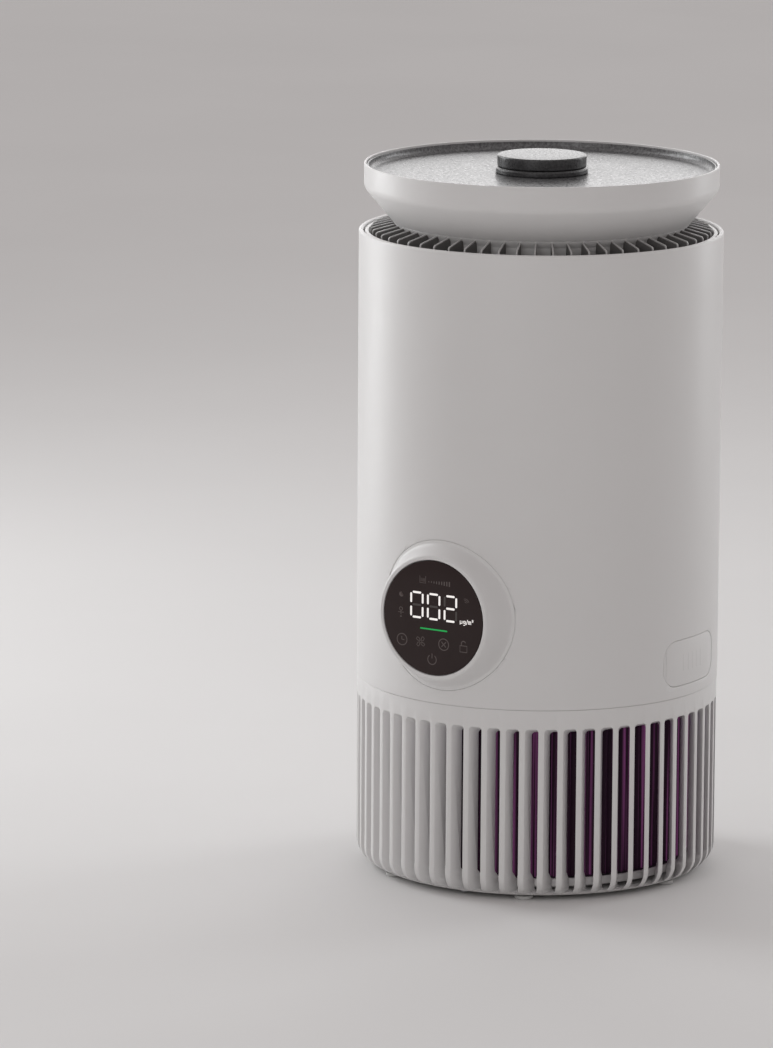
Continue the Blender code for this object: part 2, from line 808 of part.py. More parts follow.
def build_impeller(parent):
    halves = (radians(2.4), radians(1.1))
    levels = 4
    rings = []
    for level in range(levels + 1):
        part = level / levels
        height = FAN_BOTTOM + (FAN_TOP - FAN_BOTTOM) * part
        tip = FAN_TIP_R - 4 * MM * (1 - part)
        rings.append(star_ring(FAN_BLADES, FAN_HUB_R, tip, *halves, FAN_TWIST * part, height))
    cavity_r = FAN_HUB_R - 3 * MM
    web_top = FAN_BOTTOM + 4 * MM
    for radius, turn, height in (
        (cavity_r, FAN_TWIST, FAN_TOP),
        (cavity_r, 0, web_top),
        (SHAFT_BORE_R, 0, web_top),
        (SHAFT_BORE_R, 0, FAN_BOTTOM),
    ):
        rings.append(star_ring(FAN_BLADES, radius, radius, *halves, turn, height))
    ringed("fan_impeller", rings, GREY, parent)
    profile = [(0, SHAFT_BOTTOM), (SHAFT_R, SHAFT_BOTTOM), (SHAFT_R, SHAFT_TOP), (0, SHAFT_TOP)]
    turned_solid("motor_shaft", profile, 10, STEEL, parent)
    profile = [
        (SHAFT_BORE_R, ROTOR_BOTTOM),
        (ROTOR_R, ROTOR_BOTTOM),
        (ROTOR_R, ROTOR_TOP),
        (SHAFT_BORE_R, ROTOR_TOP),
    ]
    turned_ring("motor_rotor", profile, 24, STEEL, parent)
    nut_high = FAN_BOTTOM - GAP
    nut_low = nut_high - 5.0 * MM
    nut_sides = 6
    corner_r = 7.0 * MM
    flat_r = corner_r * cos(pi / nut_sides)
    rings = []
    for height, is_bore in ((nut_low, False), (nut_high, False), (nut_high, True), (nut_low, True)):
        ring = []
        for step in range(2 * nut_sides):
            outside = flat_r if step % 2 else corner_r
            ring.append(polar(SHAFT_BORE_R if is_bore else outside, pi * step / nut_sides, height))
        rings.append(ring)
    ringed("impeller_nut", rings, STEEL, parent)


def build_shell(parent):
    inner_r = BODY_R - SHELL_WALL
    profile = [
        (inner_r, SHELL_BOTTOM),
        (BODY_R - 0.4 * MM, SHELL_BOTTOM),
        (BODY_R, SHELL_BOTTOM + 0.4 * MM),
        (BODY_R, SHELL_TOP - 1.4 * MM),
        (BODY_R - 1.3 * MM, SHELL_TOP),
        (inner_r, SHELL_TOP - 1.3 * MM),
    ]
    shell = turned_ring("outer_shell", profile, 64, WHITE, parent)
    bore_r = BEZEL_R + GAP
    reach = 20 * MM
    profile = [(0, -reach), (bore_r, -reach), (bore_r, reach), (0, reach)]
    bore = turned_solid("display_bore", profile, 40, None, parent)
    bore.rotation_euler = (radians(90), 0, 0)
    bore.location = Vector((0, -BODY_R, DISPLAY_Z - parent.location.z))
    cut(shell, bore)
    return shell


def ring_round_y(radius, depth, segments):
    """Points of a circle round an axis along Y, where depth is the y value or a function of x."""
    ring = []
    for step in range(segments):
        angle = 2 * pi * step / segments
        across = radius * cos(angle)
        along = depth(across) if callable(depth) else depth
        ring.append((across, along, radius * sin(angle)))
    return ring


def body_y(offset):
    """The y of the body's front wall at a given x, moved outward by offset."""
    return lambda across: -sqrt((BODY_R + offset) ** 2 - across**2)


def build_display(parent):
    segments = 32

    def swell(part):
        """Depths part of the way from the body's wall out to the glass."""
        wall = body_y(0)
        return lambda across: wall(across) * (1 - part) + GLASS_Y * part

    lip = GLASS_Y + 0.1 * MM
    seat_r = GLASS_R + 0.35 * MM
    ledge = GLASS_Y + GLASS_THICKNESS + GAP
    ledge_r = 29.6 * MM
    back = GLASS_Y + 5.0 * MM
    rings = [
        ring_round_y(BEZEL_R, body_y(-2.6 * MM), segments),
        ring_round_y(BEZEL_R, body_y(-0.1 * MM), segments),
        ring_round_y(40.0 * MM, swell(0.10), segments),
        ring_round_y(37.0 * MM, swell(0.42), segments),
        ring_round_y(35.0 * MM, swell(0.80), segments),
        ring_round_y(33.8 * MM, lip, segments),
        ring_round_y(seat_r, lip, segments),
        ring_round_y(seat_r, ledge, segments),
        ring_round_y(ledge_r, ledge, segments),
        ring_round_y(ledge_r, back, segments),
        ring_round_y(34.5 * MM, back, segments),
    ]
    ringed("display_bezel", rings, WHITE, parent)
    for name, radius, front, thickness, finish in (
        ("display_glass", GLASS_R, GLASS_Y, GLASS_THICKNESS, BLACK_GLASS),
        ("display_board", ledge_r - 0.8 * MM, ledge + GAP, BOARD_THICKNESS, BOARD_GREEN),
    ):
        profile = [(0, -front), (radius, -front), (radius, -front - thickness), (0, -front - thickness)]
        disc = turned_solid(name, profile, segments, finish, parent)
        disc.rotation_euler = (radians(90), 0, 0)


def pill(name, grow, front, back, finish, parent):
    """The release button's outline as a plate that faces +X; front and back give x for a given y."""
    outline = rounded_outline(BUTTON_WIDTH + 2 * grow, BUTTON_HEIGHT + 2 * grow, BUTTON_CORNER + grow, 4)
    rings = []
    for surface, scales in ((back, (0.45, 0.75, 1.0)), (front, (1.0, 0.75, 0.45))):
        for scale in scales:
            rings.append([(surface(y * scale), y * scale, z * scale) for y, z in outline])
    count = len(outline)
    points = [point for ring in rings for point in ring]
    points += [(back(0), 0, 0), (front(0), 0, 0)]
    faces = loop_faces(len(rings), count, closed_rings=False)
    last = (len(rings) - 1) * count
    for step in range(count):
        right = (step + 1) % count
        faces.append((step, right, len(points) - 2))
        faces.append((last + step, last + right, len(points) - 1))
    return make_object(name, points, faces, finish, parent)


def build_button(side, shell, housing):
    """One release button with its latch arm and spring. It is made facing +X and turned to its side."""
    joint = make_empty(f"button_axis_{side}", (0, 0, BUTTON_Z), housing)
    joint.rotation_euler = (0, 0, 0 if side == "right" else pi)

    def wall(offset):
        return lambda across: sqrt((BODY_R + offset) ** 2 - across**2)

    pill(f"push_button_{side}", 0, wall(-0.1 * MM), wall(-2.5 * MM), WHITE, joint)
    hole = pill(f"button_hole_{side}", BUTTON_GAP, wall(8 * MM), wall(-12 * MM), None, joint)
    cut(shell, hole)
    # The arm hangs from the button's back, through the floor, to just inside the basket's rim.
    arm_top = 138.0 * MM
    arm_bottom = 105.5 * MM
    arm_inner_x = 93.4 * MM
    arm_outer_x = 95.2 * MM
    pad_x = 99.6 * MM
    outline = [
        (pad_x, arm_top),
        (pad_x, 121.0 * MM),
        (arm_outer_x, 117.0 * MM),
        (arm_outer_x, arm_bottom),
        (arm_inner_x, arm_bottom),
        (arm_inner_x, arm_top),
    ]
    half_width = 7 * MM
    points = []
    for across in (-half_width, half_width):
        points += [(x, across, z - BUTTON_Z) for x, z in outline]
    count = len(outline)
    faces = [tuple(range(count)), tuple(range(count, 2 * count))]
    for step in range(count):
        right = (step + 1) % count
        faces.append((step, right, count + right, count + step))
    make_object(f"latch_arm_{side}", points, faces, WHITE, joint, smooth=False)
    spring_end = arm_inner_x - 1.0 * MM
    spring = build_spring(f"latch_spring_{side}", DUCT_R + 0.9 * MM, spring_end, housing)
    spring.location = Vector((0, 0, BUTTON_Z))
    spring.rotation_euler = joint.rotation_euler


def build_spring(name, start, end, parent):
    """A coil spring along +X between the duct and the latch arm."""
    turns = 3
    steps = 8
    coil_r = 4.0 * MM
    curve = bpy.data.curves.new(name, "CURVE")
    curve.dimensions = "3D"
    curve.bevel_depth = 0.45 * MM
    curve.bevel_resolution = 0
    curve.use_fill_caps = True
    line = curve.splines.new("POLY")
    line.points.add(turns * steps)
    for index, point in enumerate(line.points):
        angle = 2 * pi * index / steps
        along = start + (end - start) * index / (turns * steps)
        point.co = (along, coil_r * cos(angle), coil_r * sin(angle), 1.0)
    spring = bpy.data.objects.new(name, curve)
    bpy.context.scene.collection.objects.link(spring)
    spring.parent = parent
    give_material(spring, STEEL)
    return spring


def build_power(shell, parent):
    inlet_z = 127.5 * MM
    socket_r = 2.9 * MM
    pin_r = 1.0 * MM
    flange_r = 7.4 * MM
    barrel_r = 5.8 * MM
    face = 102.0 * MM
    pin_end = face - 3.0 * MM
    flange_back = face - 3.6 * MM
    floor = 93.5 * MM
    back = floor - 2.0 * MM
    profile = [
        (0, pin_end),
        (pin_r, pin_end),
        (pin_r, floor),
        (socket_r, floor),
        (socket_r, face),
        (flange_r, face),
        (flange_r, flange_back),
        (barrel_r, flange_back),
        (barrel_r, back),
        (0, back),
    ]
    inlet = turned_solid("power_inlet", profile, 20, DARK, parent)
    inlet.rotation_euler = (radians(-90), 0, 0)
    inlet.location = Vector((0, 0, inlet_z))
    hole_r = flange_r + BUTTON_GAP
    hole_start = 88 * MM
    hole_end = 110 * MM
    profile = [(0, hole_start), (hole_r, hole_start), (hole_r, hole_end), (0, hole_end)]
    hole = turned_solid("power_inlet_hole", profile, 20, None, parent)
    hole.rotation_euler = inlet.rotation_euler
    hole.location = inlet.location
    cut(shell, hole)
    board_low = (-15 * MM, 91.6 * MM, 146 * MM)
    board_high = (15 * MM, 91.6 * MM + BOARD_THICKNESS, 200 * MM)
    block("power_board", board_low, board_high, BOARD_GREEN, parent)
    lead = bpy.data.curves.new("power_lead", "CURVE")
    lead.dimensions = "3D"
    lead.bevel_depth = 1.1 * MM
    lead.bevel_resolution = 0
    lead.use_fill_caps = True
    line = lead.splines.new("POLY")
    steps = 10
    low = inlet_z + 7.0 * MM
    high = 145 * MM
    line.points.add(steps)
    for index, point in enumerate(line.points):
        part = index / steps
        swing = sin(pi * part) * 5 * MM
        point.co = (swing, 94.6 * MM - 2.2 * MM * part, low + (high - low) * part, 1.0)
    wire = bpy.data.objects.new("power_lead", lead)
    bpy.context.scene.collection.objects.link(wire)
    wire.parent = parent
    give_material(wire, DARK)


def build_air_sensor(shell, parent):
    """A sensor box behind a row of upright vents, to the right of the back."""
    joint = make_empty("air_sensor_place", (0, 0, 240 * MM), parent)
    joint.rotation_euler = (0, 0, radians(150))
    block("air_sensor", (-12 * MM, -99 * MM, -11 * MM), (12 * MM, -89 * MM, 11 * MM), DARK, joint)
    vents = 5
    for index in range(vents):
        middle = (index - (vents - 1) / 2) * 4.4 * MM
        low = (middle - 0.9 * MM, -110 * MM, -8 * MM)
        high = (middle + 0.9 * MM, -99.6 * MM, 8 * MM)
        cut(shell, block(f"sensor_vent_{index + 1}", low, high, None, joint))


def build():
    clear_scene()
    base = make_empty("base", (0, AXIS_Y, 0))
    cartridge = make_empty("filter", (0, 0, 0), base)
    housing = make_empty("housing", (0, 0, 0), base)
    impeller = make_empty("impeller", (0, 0, 0), housing)
    knob = make_empty("knob", (0, 0, 0), housing)

    basket = build_intake_basket(base)
    plate = build_base_plate(base)
    build_feet(base)
    head_low = FOOT_TOP - 1.3 * MM
    tip = PLATE_TOP - 0.5 * MM
    held = (basket, plate)
    build_screws("base_screw", BASE_SCREW_CIRCLE_R, radians(4.5), head_low, FOOT_TOP, tip, base, held)
    build_filter(cartridge)

    floor = build_floor(housing)
    build_intake_guard(housing)
    build_uv_ring(housing)
    duct = build_duct(housing)
    head_high = FLOOR_BOTTOM - GAP
    head_low = head_high - 1.6 * MM
    tip = FLOOR_TOP + 2.0 * MM
    turn = radians(56.25)
    held = (floor, duct)
    build_screws("plate_screw", PLATE_SCREW_CIRCLE_R, turn, head_low, head_high, tip, housing, held)
    build_stator(housing)
    build_motor_housing(housing)
    build_diffuser_cone(housing)
    build_outlet_grille(housing)
    build_dish(housing)
    build_aroma_cup(housing)
    build_knob(knob)
    build_impeller(impeller)

    shell = build_shell(housing)
    display = make_empty("display_axis", (0, 0, DISPLAY_Z), housing)
    build_display(display)
    for side in ("right", "left"):
        build_button(side, shell, housing)
    build_power(shell, housing)
    build_air_sensor(shell, housing)


build()
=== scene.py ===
"""The looks of the desktop air purifier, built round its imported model.

Lengths are in millimetres until finish_mesh turns them into metres. Angle 0 is the side that the display
faces (-Y), and angles grow towards +X.
"""

import json
from math import atan2, cos, pi, radians, sin, sqrt, tan

import bmesh
import bpy
from mathutils import Matrix, Vector


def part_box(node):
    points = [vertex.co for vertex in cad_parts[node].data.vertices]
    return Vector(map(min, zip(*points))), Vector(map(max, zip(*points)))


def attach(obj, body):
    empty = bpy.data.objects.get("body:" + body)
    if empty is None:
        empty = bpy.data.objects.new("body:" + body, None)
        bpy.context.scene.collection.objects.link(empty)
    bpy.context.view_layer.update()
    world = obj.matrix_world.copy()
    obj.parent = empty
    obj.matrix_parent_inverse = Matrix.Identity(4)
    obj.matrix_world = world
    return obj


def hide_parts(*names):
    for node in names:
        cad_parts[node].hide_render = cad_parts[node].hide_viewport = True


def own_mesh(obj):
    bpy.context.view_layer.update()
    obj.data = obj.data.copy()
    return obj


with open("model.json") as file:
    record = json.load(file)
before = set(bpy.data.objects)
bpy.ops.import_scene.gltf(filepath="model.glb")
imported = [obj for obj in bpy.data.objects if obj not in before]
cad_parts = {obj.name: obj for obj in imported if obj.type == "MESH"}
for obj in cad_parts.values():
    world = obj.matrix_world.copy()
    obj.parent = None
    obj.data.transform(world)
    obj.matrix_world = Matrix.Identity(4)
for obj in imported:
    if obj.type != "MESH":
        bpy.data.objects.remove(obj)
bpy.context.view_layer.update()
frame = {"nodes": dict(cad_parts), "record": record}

MM = 0.001


# ---------- places, read from the frame


def low(node):
    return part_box(node)[0] / MM


def high(node):
    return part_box(node)[1] / MM


def middle(node):
    return (low(node) + high(node)) / 2


def levels(node):
    """The heights of the node's bottom and top."""
    return low(node).z, high(node).z


def radius_of(node):
    return (high(node).x - low(node).x) / 2


AXIS_Y = middle("outer_shell").y
BODY_R = radius_of("outer_shell")
SHELL_LOW, SHELL_HIGH = levels("outer_shell")
BASKET_R = radius_of("intake_basket")
BASKET_LOW, BASKET_HIGH = levels("intake_basket")
GLASS_R = radius_of("display_glass")
GLASS_FRONT = low("display_glass").y + 0.12
DISPLAY_Z = middle("display_glass").z
BEZEL_R = (high("display_bezel").z - low("display_bezel").z) / 2
BUTTON_Z = middle("push_button_right").z
BUTTON_HEIGHT = high("push_button_right").z - low("push_button_right").z
BUTTON_WIDTH = high("push_button_right").y - low("push_button_right").y
DISH_R = radius_of("top_cone")
DISH_LOW, DISH_HIGH = levels("top_cone")
TRAY_LOW, TRAY_HIGH = levels("top_inlay")
TRAY_FLOOR = TRAY_LOW + 1.1
KNOB_R = radius_of("aroma_knob")
KNOB_HIGH = high("aroma_knob").z
COLLAR_HIGH = high("knob_collar").z
INLET_Z = middle("power_inlet").z
INLET_Y = high("power_inlet").y

# The rest is the CAD model's own numbers, which its boxes don't hold.
BAR_COUNT = 60
BAR_SLANT = radians(2.4)
BAR_HALF_ANGLE = radians(0.90)
BAR_INNER_HALF_ANGLE = radians(0.55)
BAR_INNER_R = 96.6
BAR_FOOT_R = 93.2
BAR_FOOT_SLANT = radians(3.8)
BAR_FOOT_TOP = 12.0
GUSSET_TOP = 17.0
RIM_R = 99.8
FIN_COUNT = 60
FIN_FIRST_ANGLE = radians(-0.7)
BUTTON_CORNER = 10.0
SIDES = ((1, "right"), (-1, "left"))


# ---------- materials


class Paint:
    """A material with one Principled shader, and helpers that wire noise into it."""

    def __init__(self, name, colour, roughness, metallic=0.0, specular=0.5):
        self.material = bpy.data.materials.new(name)
        self.material.use_nodes = True
        self.tree = self.material.node_tree
        self.shader = self.tree.nodes["Principled BSDF"]
        self.shader.inputs["Base Color"].default_value = (*colour, 1.0)
        self.shader.inputs["Roughness"].default_value = roughness
        self.shader.inputs["Metallic"].default_value = metallic
        self.shader.inputs["Specular IOR Level"].default_value = specular
        self.colour = colour
        self.roughness = roughness
        self.place = self.node("ShaderNodeTexCoord").outputs["Object"]

    def node(self, kind):
        return self.tree.nodes.new(kind)

    def link(self, start, end):
        self.tree.links.new(start, end)

    def noise(self, per_metre, detail=2.0, stretch=None):
        """Noise with this many features to the metre, squeezed along the axes if asked."""
        texture = self.node("ShaderNodeTexNoise")
        texture.inputs["Scale"].default_value = per_metre
        texture.inputs["Detail"].default_value = detail
        source = self.place
        if stretch:
            mapping = self.node("ShaderNodeMapping")
            mapping.inputs["Scale"].default_value = stretch
            self.link(self.place, mapping.inputs["Vector"])
            source = mapping.outputs["Vector"]
        self.link(source, texture.inputs["Vector"])
        return texture.outputs["Fac"]

    def ramp(self, source, first, second, start=0.35, end=0.65):
        ramp = self.node("ShaderNodeValToRGB")
        ramp.color_ramp.elements[0].position = start
        ramp.color_ramp.elements[1].position = end
        ramp.color_ramp.elements[0].color = (*first, 1.0)
        ramp.color_ramp.elements[1].color = (*second, 1.0)
        self.link(source, ramp.inputs["Fac"])
        return ramp.outputs["Color"]

    def two_colours(self, source, first, second):
        self.link(self.ramp(source, first, second), self.shader.inputs["Base Color"])
        return self

    def mottle(self, per_metre, amount):
        """Slightly lighter and darker patches of the paint's own colour."""
        darker = tuple(value * (1 - amount) for value in self.colour)
        lighter = tuple(min(1.0, value * (1 + amount)) for value in self.colour)
        return self.two_colours(self.noise(per_metre, 3.0), darker, lighter)

    def grain(self, per_metre, depth, detail=2.0, stretch=None):
        """A moulded or sprayed grain of this depth."""
        bump = self.node("ShaderNodeBump")
        bump.inputs["Strength"].default_value = 1.0
        bump.inputs["Distance"].default_value = depth * MM
        self.link(self.noise(per_metre, detail, stretch), bump.inputs["Height"])
        self.link(bump.outputs["Normal"], self.shader.inputs["Normal"])
        return self

    def worn(self, per_metre, amount):
        """Roughness that changes a little from place to place."""
        ranged = self.node("ShaderNodeMapRange")
        ranged.inputs["From Min"].default_value = 0.3
        ranged.inputs["From Max"].default_value = 0.7
        ranged.inputs["To Min"].default_value = self.roughness - amount
        ranged.inputs["To Max"].default_value = self.roughness + amount
        self.link(self.noise(per_metre, 4.0), ranged.inputs["Value"])
        self.link(ranged.outputs["Result"], self.shader.inputs["Roughness"])
        return self


def white_plastic(name, colour, roughness):
    return Paint(name, colour, roughness).mottle(9, 0.008).grain(2600, 0.010).worn(40, 0.03)


def make_tray_grey(name, darker, lighter, specular):
    """Dark grey with a fine sparkling grain that turns bright at a low angle."""
    paint = Paint(name, lighter, 0.32, specular=specular)
    paint.two_colours(paint.noise(700), darker, lighter)
    return paint.grain(700, 0.13).worn(650, 0.10)


def make_fleece_with_painted_glow():
    """Dark fleece with upright fibres, with a violet glow painted into its emission in place of the lamp's
    light on it.
    """
    paint = Paint("filter_fleece", (0.05, 0.015, 0.04), 0.95)
    streaks = paint.noise(430, stretch=(1.0, 1.0, 0.010))
    colour = paint.ramp(streaks, (0.018, 0.005, 0.014), (0.12, 0.036, 0.096), 0.48, 0.68)
    paint.link(colour, paint.shader.inputs["Base Color"])
    # The emission is a painted glow: violet light from the lamp, painted onto the fleece's fibres.
    glow = paint.ramp(streaks, (0.0030, 0.001, 0.0026), (0.088, 0.024, 0.074), 0.50, 0.70)
    paint.link(glow, paint.shader.inputs["Emission Color"])
    paint.shader.inputs["Emission Strength"].default_value = 1.0
    return paint.grain(900, 0.2, 4.0)


def make_board():
    paint = Paint("board_green", (0.02, 0.14, 0.06), 0.35)
    paint.two_colours(paint.noise(420), (0.012, 0.10, 0.04), (0.03, 0.19, 0.08))
    return paint.grain(700, 0.05)


def make_windings():
    """Copper wire on the motor's core, seen as fine upright lines."""
    paint = Paint("motor_windings", (0.42, 0.18, 0.07), 0.35, metallic=0.9)
    upright = (1.0, 1.0, 0.1)
    paint.two_colours(paint.noise(900, stretch=upright), (0.25, 0.09, 0.03), (0.60, 0.28, 0.11))
    return paint.grain(1400, 0.08, stretch=upright)


def make_sign(name, colour, strength):
    """A sign behind the window, a little uneven like a real segment."""
    darker = tuple(0.05 * value for value in colour)
    lighter = tuple(0.07 * value for value in colour)
    paint = Paint(name, lighter, 0.5)
    paint.two_colours(paint.noise(500), darker, lighter)
    paint.shader.inputs["Emission Color"].default_value = (*colour, 1.0)
    paint.shader.inputs["Emission Strength"].default_value = strength
    return paint.grain(900, 0.005)


PAINTS = {
    "white_shell": white_plastic("white_shell", (0.71, 0.705, 0.70), 0.40),
    "inner_white_plastic": white_plastic("inner_white", (0.64, 0.635, 0.625), 0.5),
    "fan_grey_plastic": Paint("fan_grey", (0.20, 0.20, 0.21), 0.5).mottle(30, 0.04).grain(2000, 0.02),
    "tray_grey": make_tray_grey("tray_grey", (0.055, 0.055, 0.057), (0.165, 0.165, 0.169), 0.82),
    "grille_dark_grey": Paint("grille_dark", (0.14, 0.135, 0.132), 0.55).mottle(60, 0.05).grain(2200, 0.012),
    "black_plastic": Paint("black_plastic", (0.025, 0.025, 0.025), 0.5).mottle(40, 0.1).grain(1800, 0.02),
    "filter_fleece": make_fleece_with_painted_glow(),
    "carbon_felt": Paint("carbon_felt", (0.015, 0.015, 0.015), 0.95).mottle(900, 0.4).grain(1100, 0.3, 4.0),
    "black_rubber": Paint("black_rubber", (0.022, 0.022, 0.022), 0.75).mottle(200, 0.1).grain(1500, 0.03),
    "pale_rubber": Paint("pale_rubber", (0.50, 0.50, 0.49), 0.75).mottle(200, 0.03).grain(1500, 0.03),
    "white_felt": Paint("white_felt", (0.75, 0.74, 0.71), 0.95).mottle(700, 0.05).grain(1300, 0.25, 4.0),
    "violet_light": make_sign("violet_light", (0.42, 0.10, 0.75), 0.7),
    "display_glass": (
        Paint("display_glass", (0.026, 0.0150, 0.0143), 0.12, specular=0.25).mottle(60, 0.03).worn(50, 0.02)
    ),
    "circuit_board": make_board(),
    "wire_black": Paint("wire_black", (0.02, 0.02, 0.02), 0.5).mottle(300, 0.1).grain(900, 0.03),
    "motor_housing": Paint("motor_paint", (0.15, 0.15, 0.16), 0.4, 0.3).mottle(80, 0.05).grain(1200, 0.02),
    "motor_windings": make_windings(),
    "steel": Paint("steel", (0.55, 0.55, 0.57), 0.32, 1.0).mottle(300, 0.05).grain(1500, 0.01, 3.0),
}
# The knob and its seat get a darker copy of the tray's grey: painted shade for the shadow on the knob's
# side.
KNOB_GREY_PAINTED_SHADE = make_tray_grey("knob_grey_painted_shade", (0.028, 0.028, 0.029), (0.056, 0.056, 0.058), 0.64)
# The paint for the fins' edges is lighter than the fins themselves: a painted highlight along each edge.
FIN_EDGE_PAINTED_HIGHLIGHT = white_plastic("fin_edge_painted_highlight", (0.46, 0.455, 0.45), 0.35)
LIT_WHITE = make_sign("sign_white", (1.0, 0.95, 0.92), 0.90)
LIT_GREEN = make_sign("sign_green", (0.002, 0.36, 0.07), 0.95)
DIM_SIGN = make_sign("sign_dim", (0.066, 0.050, 0.047), 0.9)
FAINT_SIGN = make_sign("sign_faint", (0.055, 0.045, 0.042), 0.7)


# ---------- shape helpers


def polar(radius, angle, height):
    return Vector((radius * sin(angle), AXIS_Y - radius * cos(angle), height))


def upright_axis(place, start=0.0):
    """A lathe's turned= for an upright axis through this place."""

    def turned(radius, angle, height):
        return Vector((place.x + radius * cos(angle), place.y + radius * sin(angle), start + height))

    return turned


def rounded(corners, steps=5):
    """A closed outline through (x, y) or (x, y, fillet) corners. A corner with a fillet becomes an arc."""
    path = []
    count = len(corners)
    for index, corner in enumerate(corners):
        here = Vector(corner[:2])
        fillet = corner[2] if len(corner) > 2 else 0
        if not fillet:
            path.append(here)
            continue
        before = (Vector(corners[index - 1][:2]) - here).normalized()
        after = (Vector(corners[(index + 1) % count][:2]) - here).normalized()
        half = before.angle(after) / 2
        centre = here + (before + after).normalized() * (fillet / sin(half))
        first = here + before * (fillet / tan(half)) - centre
        last = here + after * (fillet / tan(half)) - centre
        turn = atan2(first.x * last.y - first.y * last.x, first.dot(last))
        for step in range(steps + 1):
            c, s = cos(turn * step / steps), sin(turn * step / steps)
            path.append(centre + Vector((first.x * c - first.y * s, first.x * s + first.y * c)))
    return path


def rounded_box(half_w, half_h, fillet, steps=5, centre=(0.0, 0.0)):
    """The outline of a rectangle with round corners."""
    u, v = centre
    signs = ((-1, -1), (1, -1), (1, 1), (-1, 1))
    return rounded([(u + x * half_w, v + y * half_h, fillet) for x, y in signs], steps)


def finish_mesh(name, work, body=None, slot=None, stands_for=(), paint=None, sharp=40):
    """Turns a bmesh into an object. With a body, it rides on that body and stands for CAD nodes."""
    bmesh.ops.recalc_face_normals(work, faces=work.faces)
    bmesh.ops.scale(work, vec=(MM, MM, MM), verts=work.verts)
    mesh = bpy.data.meshes.new(name)
    work.to_mesh(mesh)
    work.free()
    mesh.shade_smooth()
    mesh.set_sharp_from_angle(angle=radians(sharp))
    piece = bpy.data.objects.new(name, mesh)
    bpy.context.scene.collection.objects.link(piece)
    if body:
        mesh.materials.append((paint or PAINTS[slot]).material)
        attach(piece, body)
    if stands_for:
        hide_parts(*stands_for)
    return piece


def add_rings(work, rings, closed=True):
    """Joins rings of points with quads, and the last ring to the first if closed."""
    rows = [[work.verts.new(point) for point in ring] for ring in rings]
    count = len(rows[0])
    for index in range(len(rows) if closed else len(rows) - 1):
        after = rows[(index + 1) % len(rows)]
        for step in range(count):
            right = (step + 1) % count
            work.faces.new((rows[index][step], rows[index][right], after[right], after[step]))
    return rows


def add_capped(work, rings):
    """Rings joined with quads, with a flat face on the first and the last."""
    rows = add_rings(work, rings, closed=False)
    work.faces.new(rows[0])
    work.faces.new(rows[-1])


def add_lathe(work, corners, segments=160, steps=5, turned=polar):
    """Turns (radius, height, fillet) corners round the axis. A path with both ends on it closes there."""
    path = rounded(corners, steps)
    on_axis = path[0].x < 1e-6
    inner = path[1:-1] if on_axis else path
    rings = [[turned(r, 2 * pi * step / segments, z) for step in range(segments)] for r, z in inner]
    rows = add_rings(work, rings, closed=not on_axis)
    if not on_axis:
        return
    for row, height in ((rows[0], path[0].y), (rows[-1], path[-1].y)):
        tip = work.verts.new(turned(0, 0, height))
        for step in range(segments):
            work.faces.new((tip, row[step], row[(step + 1) % segments]))


def lathe(name, corners, body, slot, stands_for=(), segments=160, steps=5, turned=polar, paint=None):
    work = bmesh.new()
    add_lathe(work, corners, segments, steps, turned)
    return finish_mesh(name, work, body, slot, stands_for, paint)


def add_block(work, centre, size, turn=0.0):
    """A block turned about its own upright axis."""
    half = Vector(size) / 2
    spin = Matrix.Rotation(turn, 3, "Z")
    rings = []
    for z in (-half.z, half.z):
        ring = [(-half.x, -half.y), (half.x, -half.y), (half.x, half.y), (-half.x, half.y)]
        rings.append([Vector(centre) + spin @ Vector((x, y, z)) for x, y in ring])
    add_capped(work, rings)


def add_cylinder_y(work, radius, height, near, far, segments):
    """A cylinder along Y at this height, from near to far."""
    angles = [2 * pi * step / segments for step in range(segments)]
    rings = [[Vector((radius * cos(a), y, height + radius * sin(a))) for a in angles] for y in (near, far)]
    add_capped(work, rings)


def bake(piece):
    """Puts the piece's modifiers into its mesh."""
    graph = bpy.context.evaluated_depsgraph_get()
    solid = bpy.data.meshes.new_from_object(piece.evaluated_get(graph))
    old = piece.data
    piece.modifiers.clear()
    piece.data = solid
    bpy.data.meshes.remove(old)
    solid.shade_smooth()
    solid.set_sharp_from_angle(angle=radians(40))
    return piece


def boolean(piece, tool, operation="DIFFERENCE"):
    """Cuts the piece with a tool made in a bmesh."""
    cutter = finish_mesh("cutter", tool)
    change = piece.modifiers.new("hole", "BOOLEAN")
    change.operation = operation
    change.solver = "EXACT"
    change.object = cutter
    bake(piece)
    bpy.data.objects.remove(cutter, do_unlink=True)


def cut(piece, add_shape, *args):
    """Cuts the piece with the shape that add_shape adds to an empty bmesh."""
    tool = bmesh.new()
    add_shape(tool, *args)
    boolean(piece, tool)


def soften(piece, width, segments=2, angle=50):
    """Rounds the piece's sharp edges."""
    bevel = piece.modifiers.new("soft_edges", "BEVEL")
    bevel.width = width * MM
    bevel.segments = segments
    bevel.limit_method = "ANGLE"
    bevel.angle_limit = radians(angle)
    bevel.use_clamp_overlap = False
    bake(piece)


def add_pill(work, side, grow=0.0):
    """A prism of the release button's outline, which runs right through the body's wall."""
    outline = rounded_box(BUTTON_WIDTH / 2 + grow, BUTTON_HEIGHT / 2 + grow, BUTTON_CORNER + grow, 8)
    rings = []
    for x in (60.0, 112.0):
        rings.append([Vector((side * x, AXIS_Y + across, BUTTON_Z + up)) for across, up in outline])
    add_capped(work, rings)


# ---------- base


def lower_corner(degrees):
    """A point on the basket's lower corner, which is a quarter of an ellipse 14 mm wide and 12 mm tall."""
    turn = radians(degrees)
    return Vector((BASKET_R - 14.0 * (1 - cos(turn)), BASKET_LOW + 12.0 * (1 - sin(turn))))


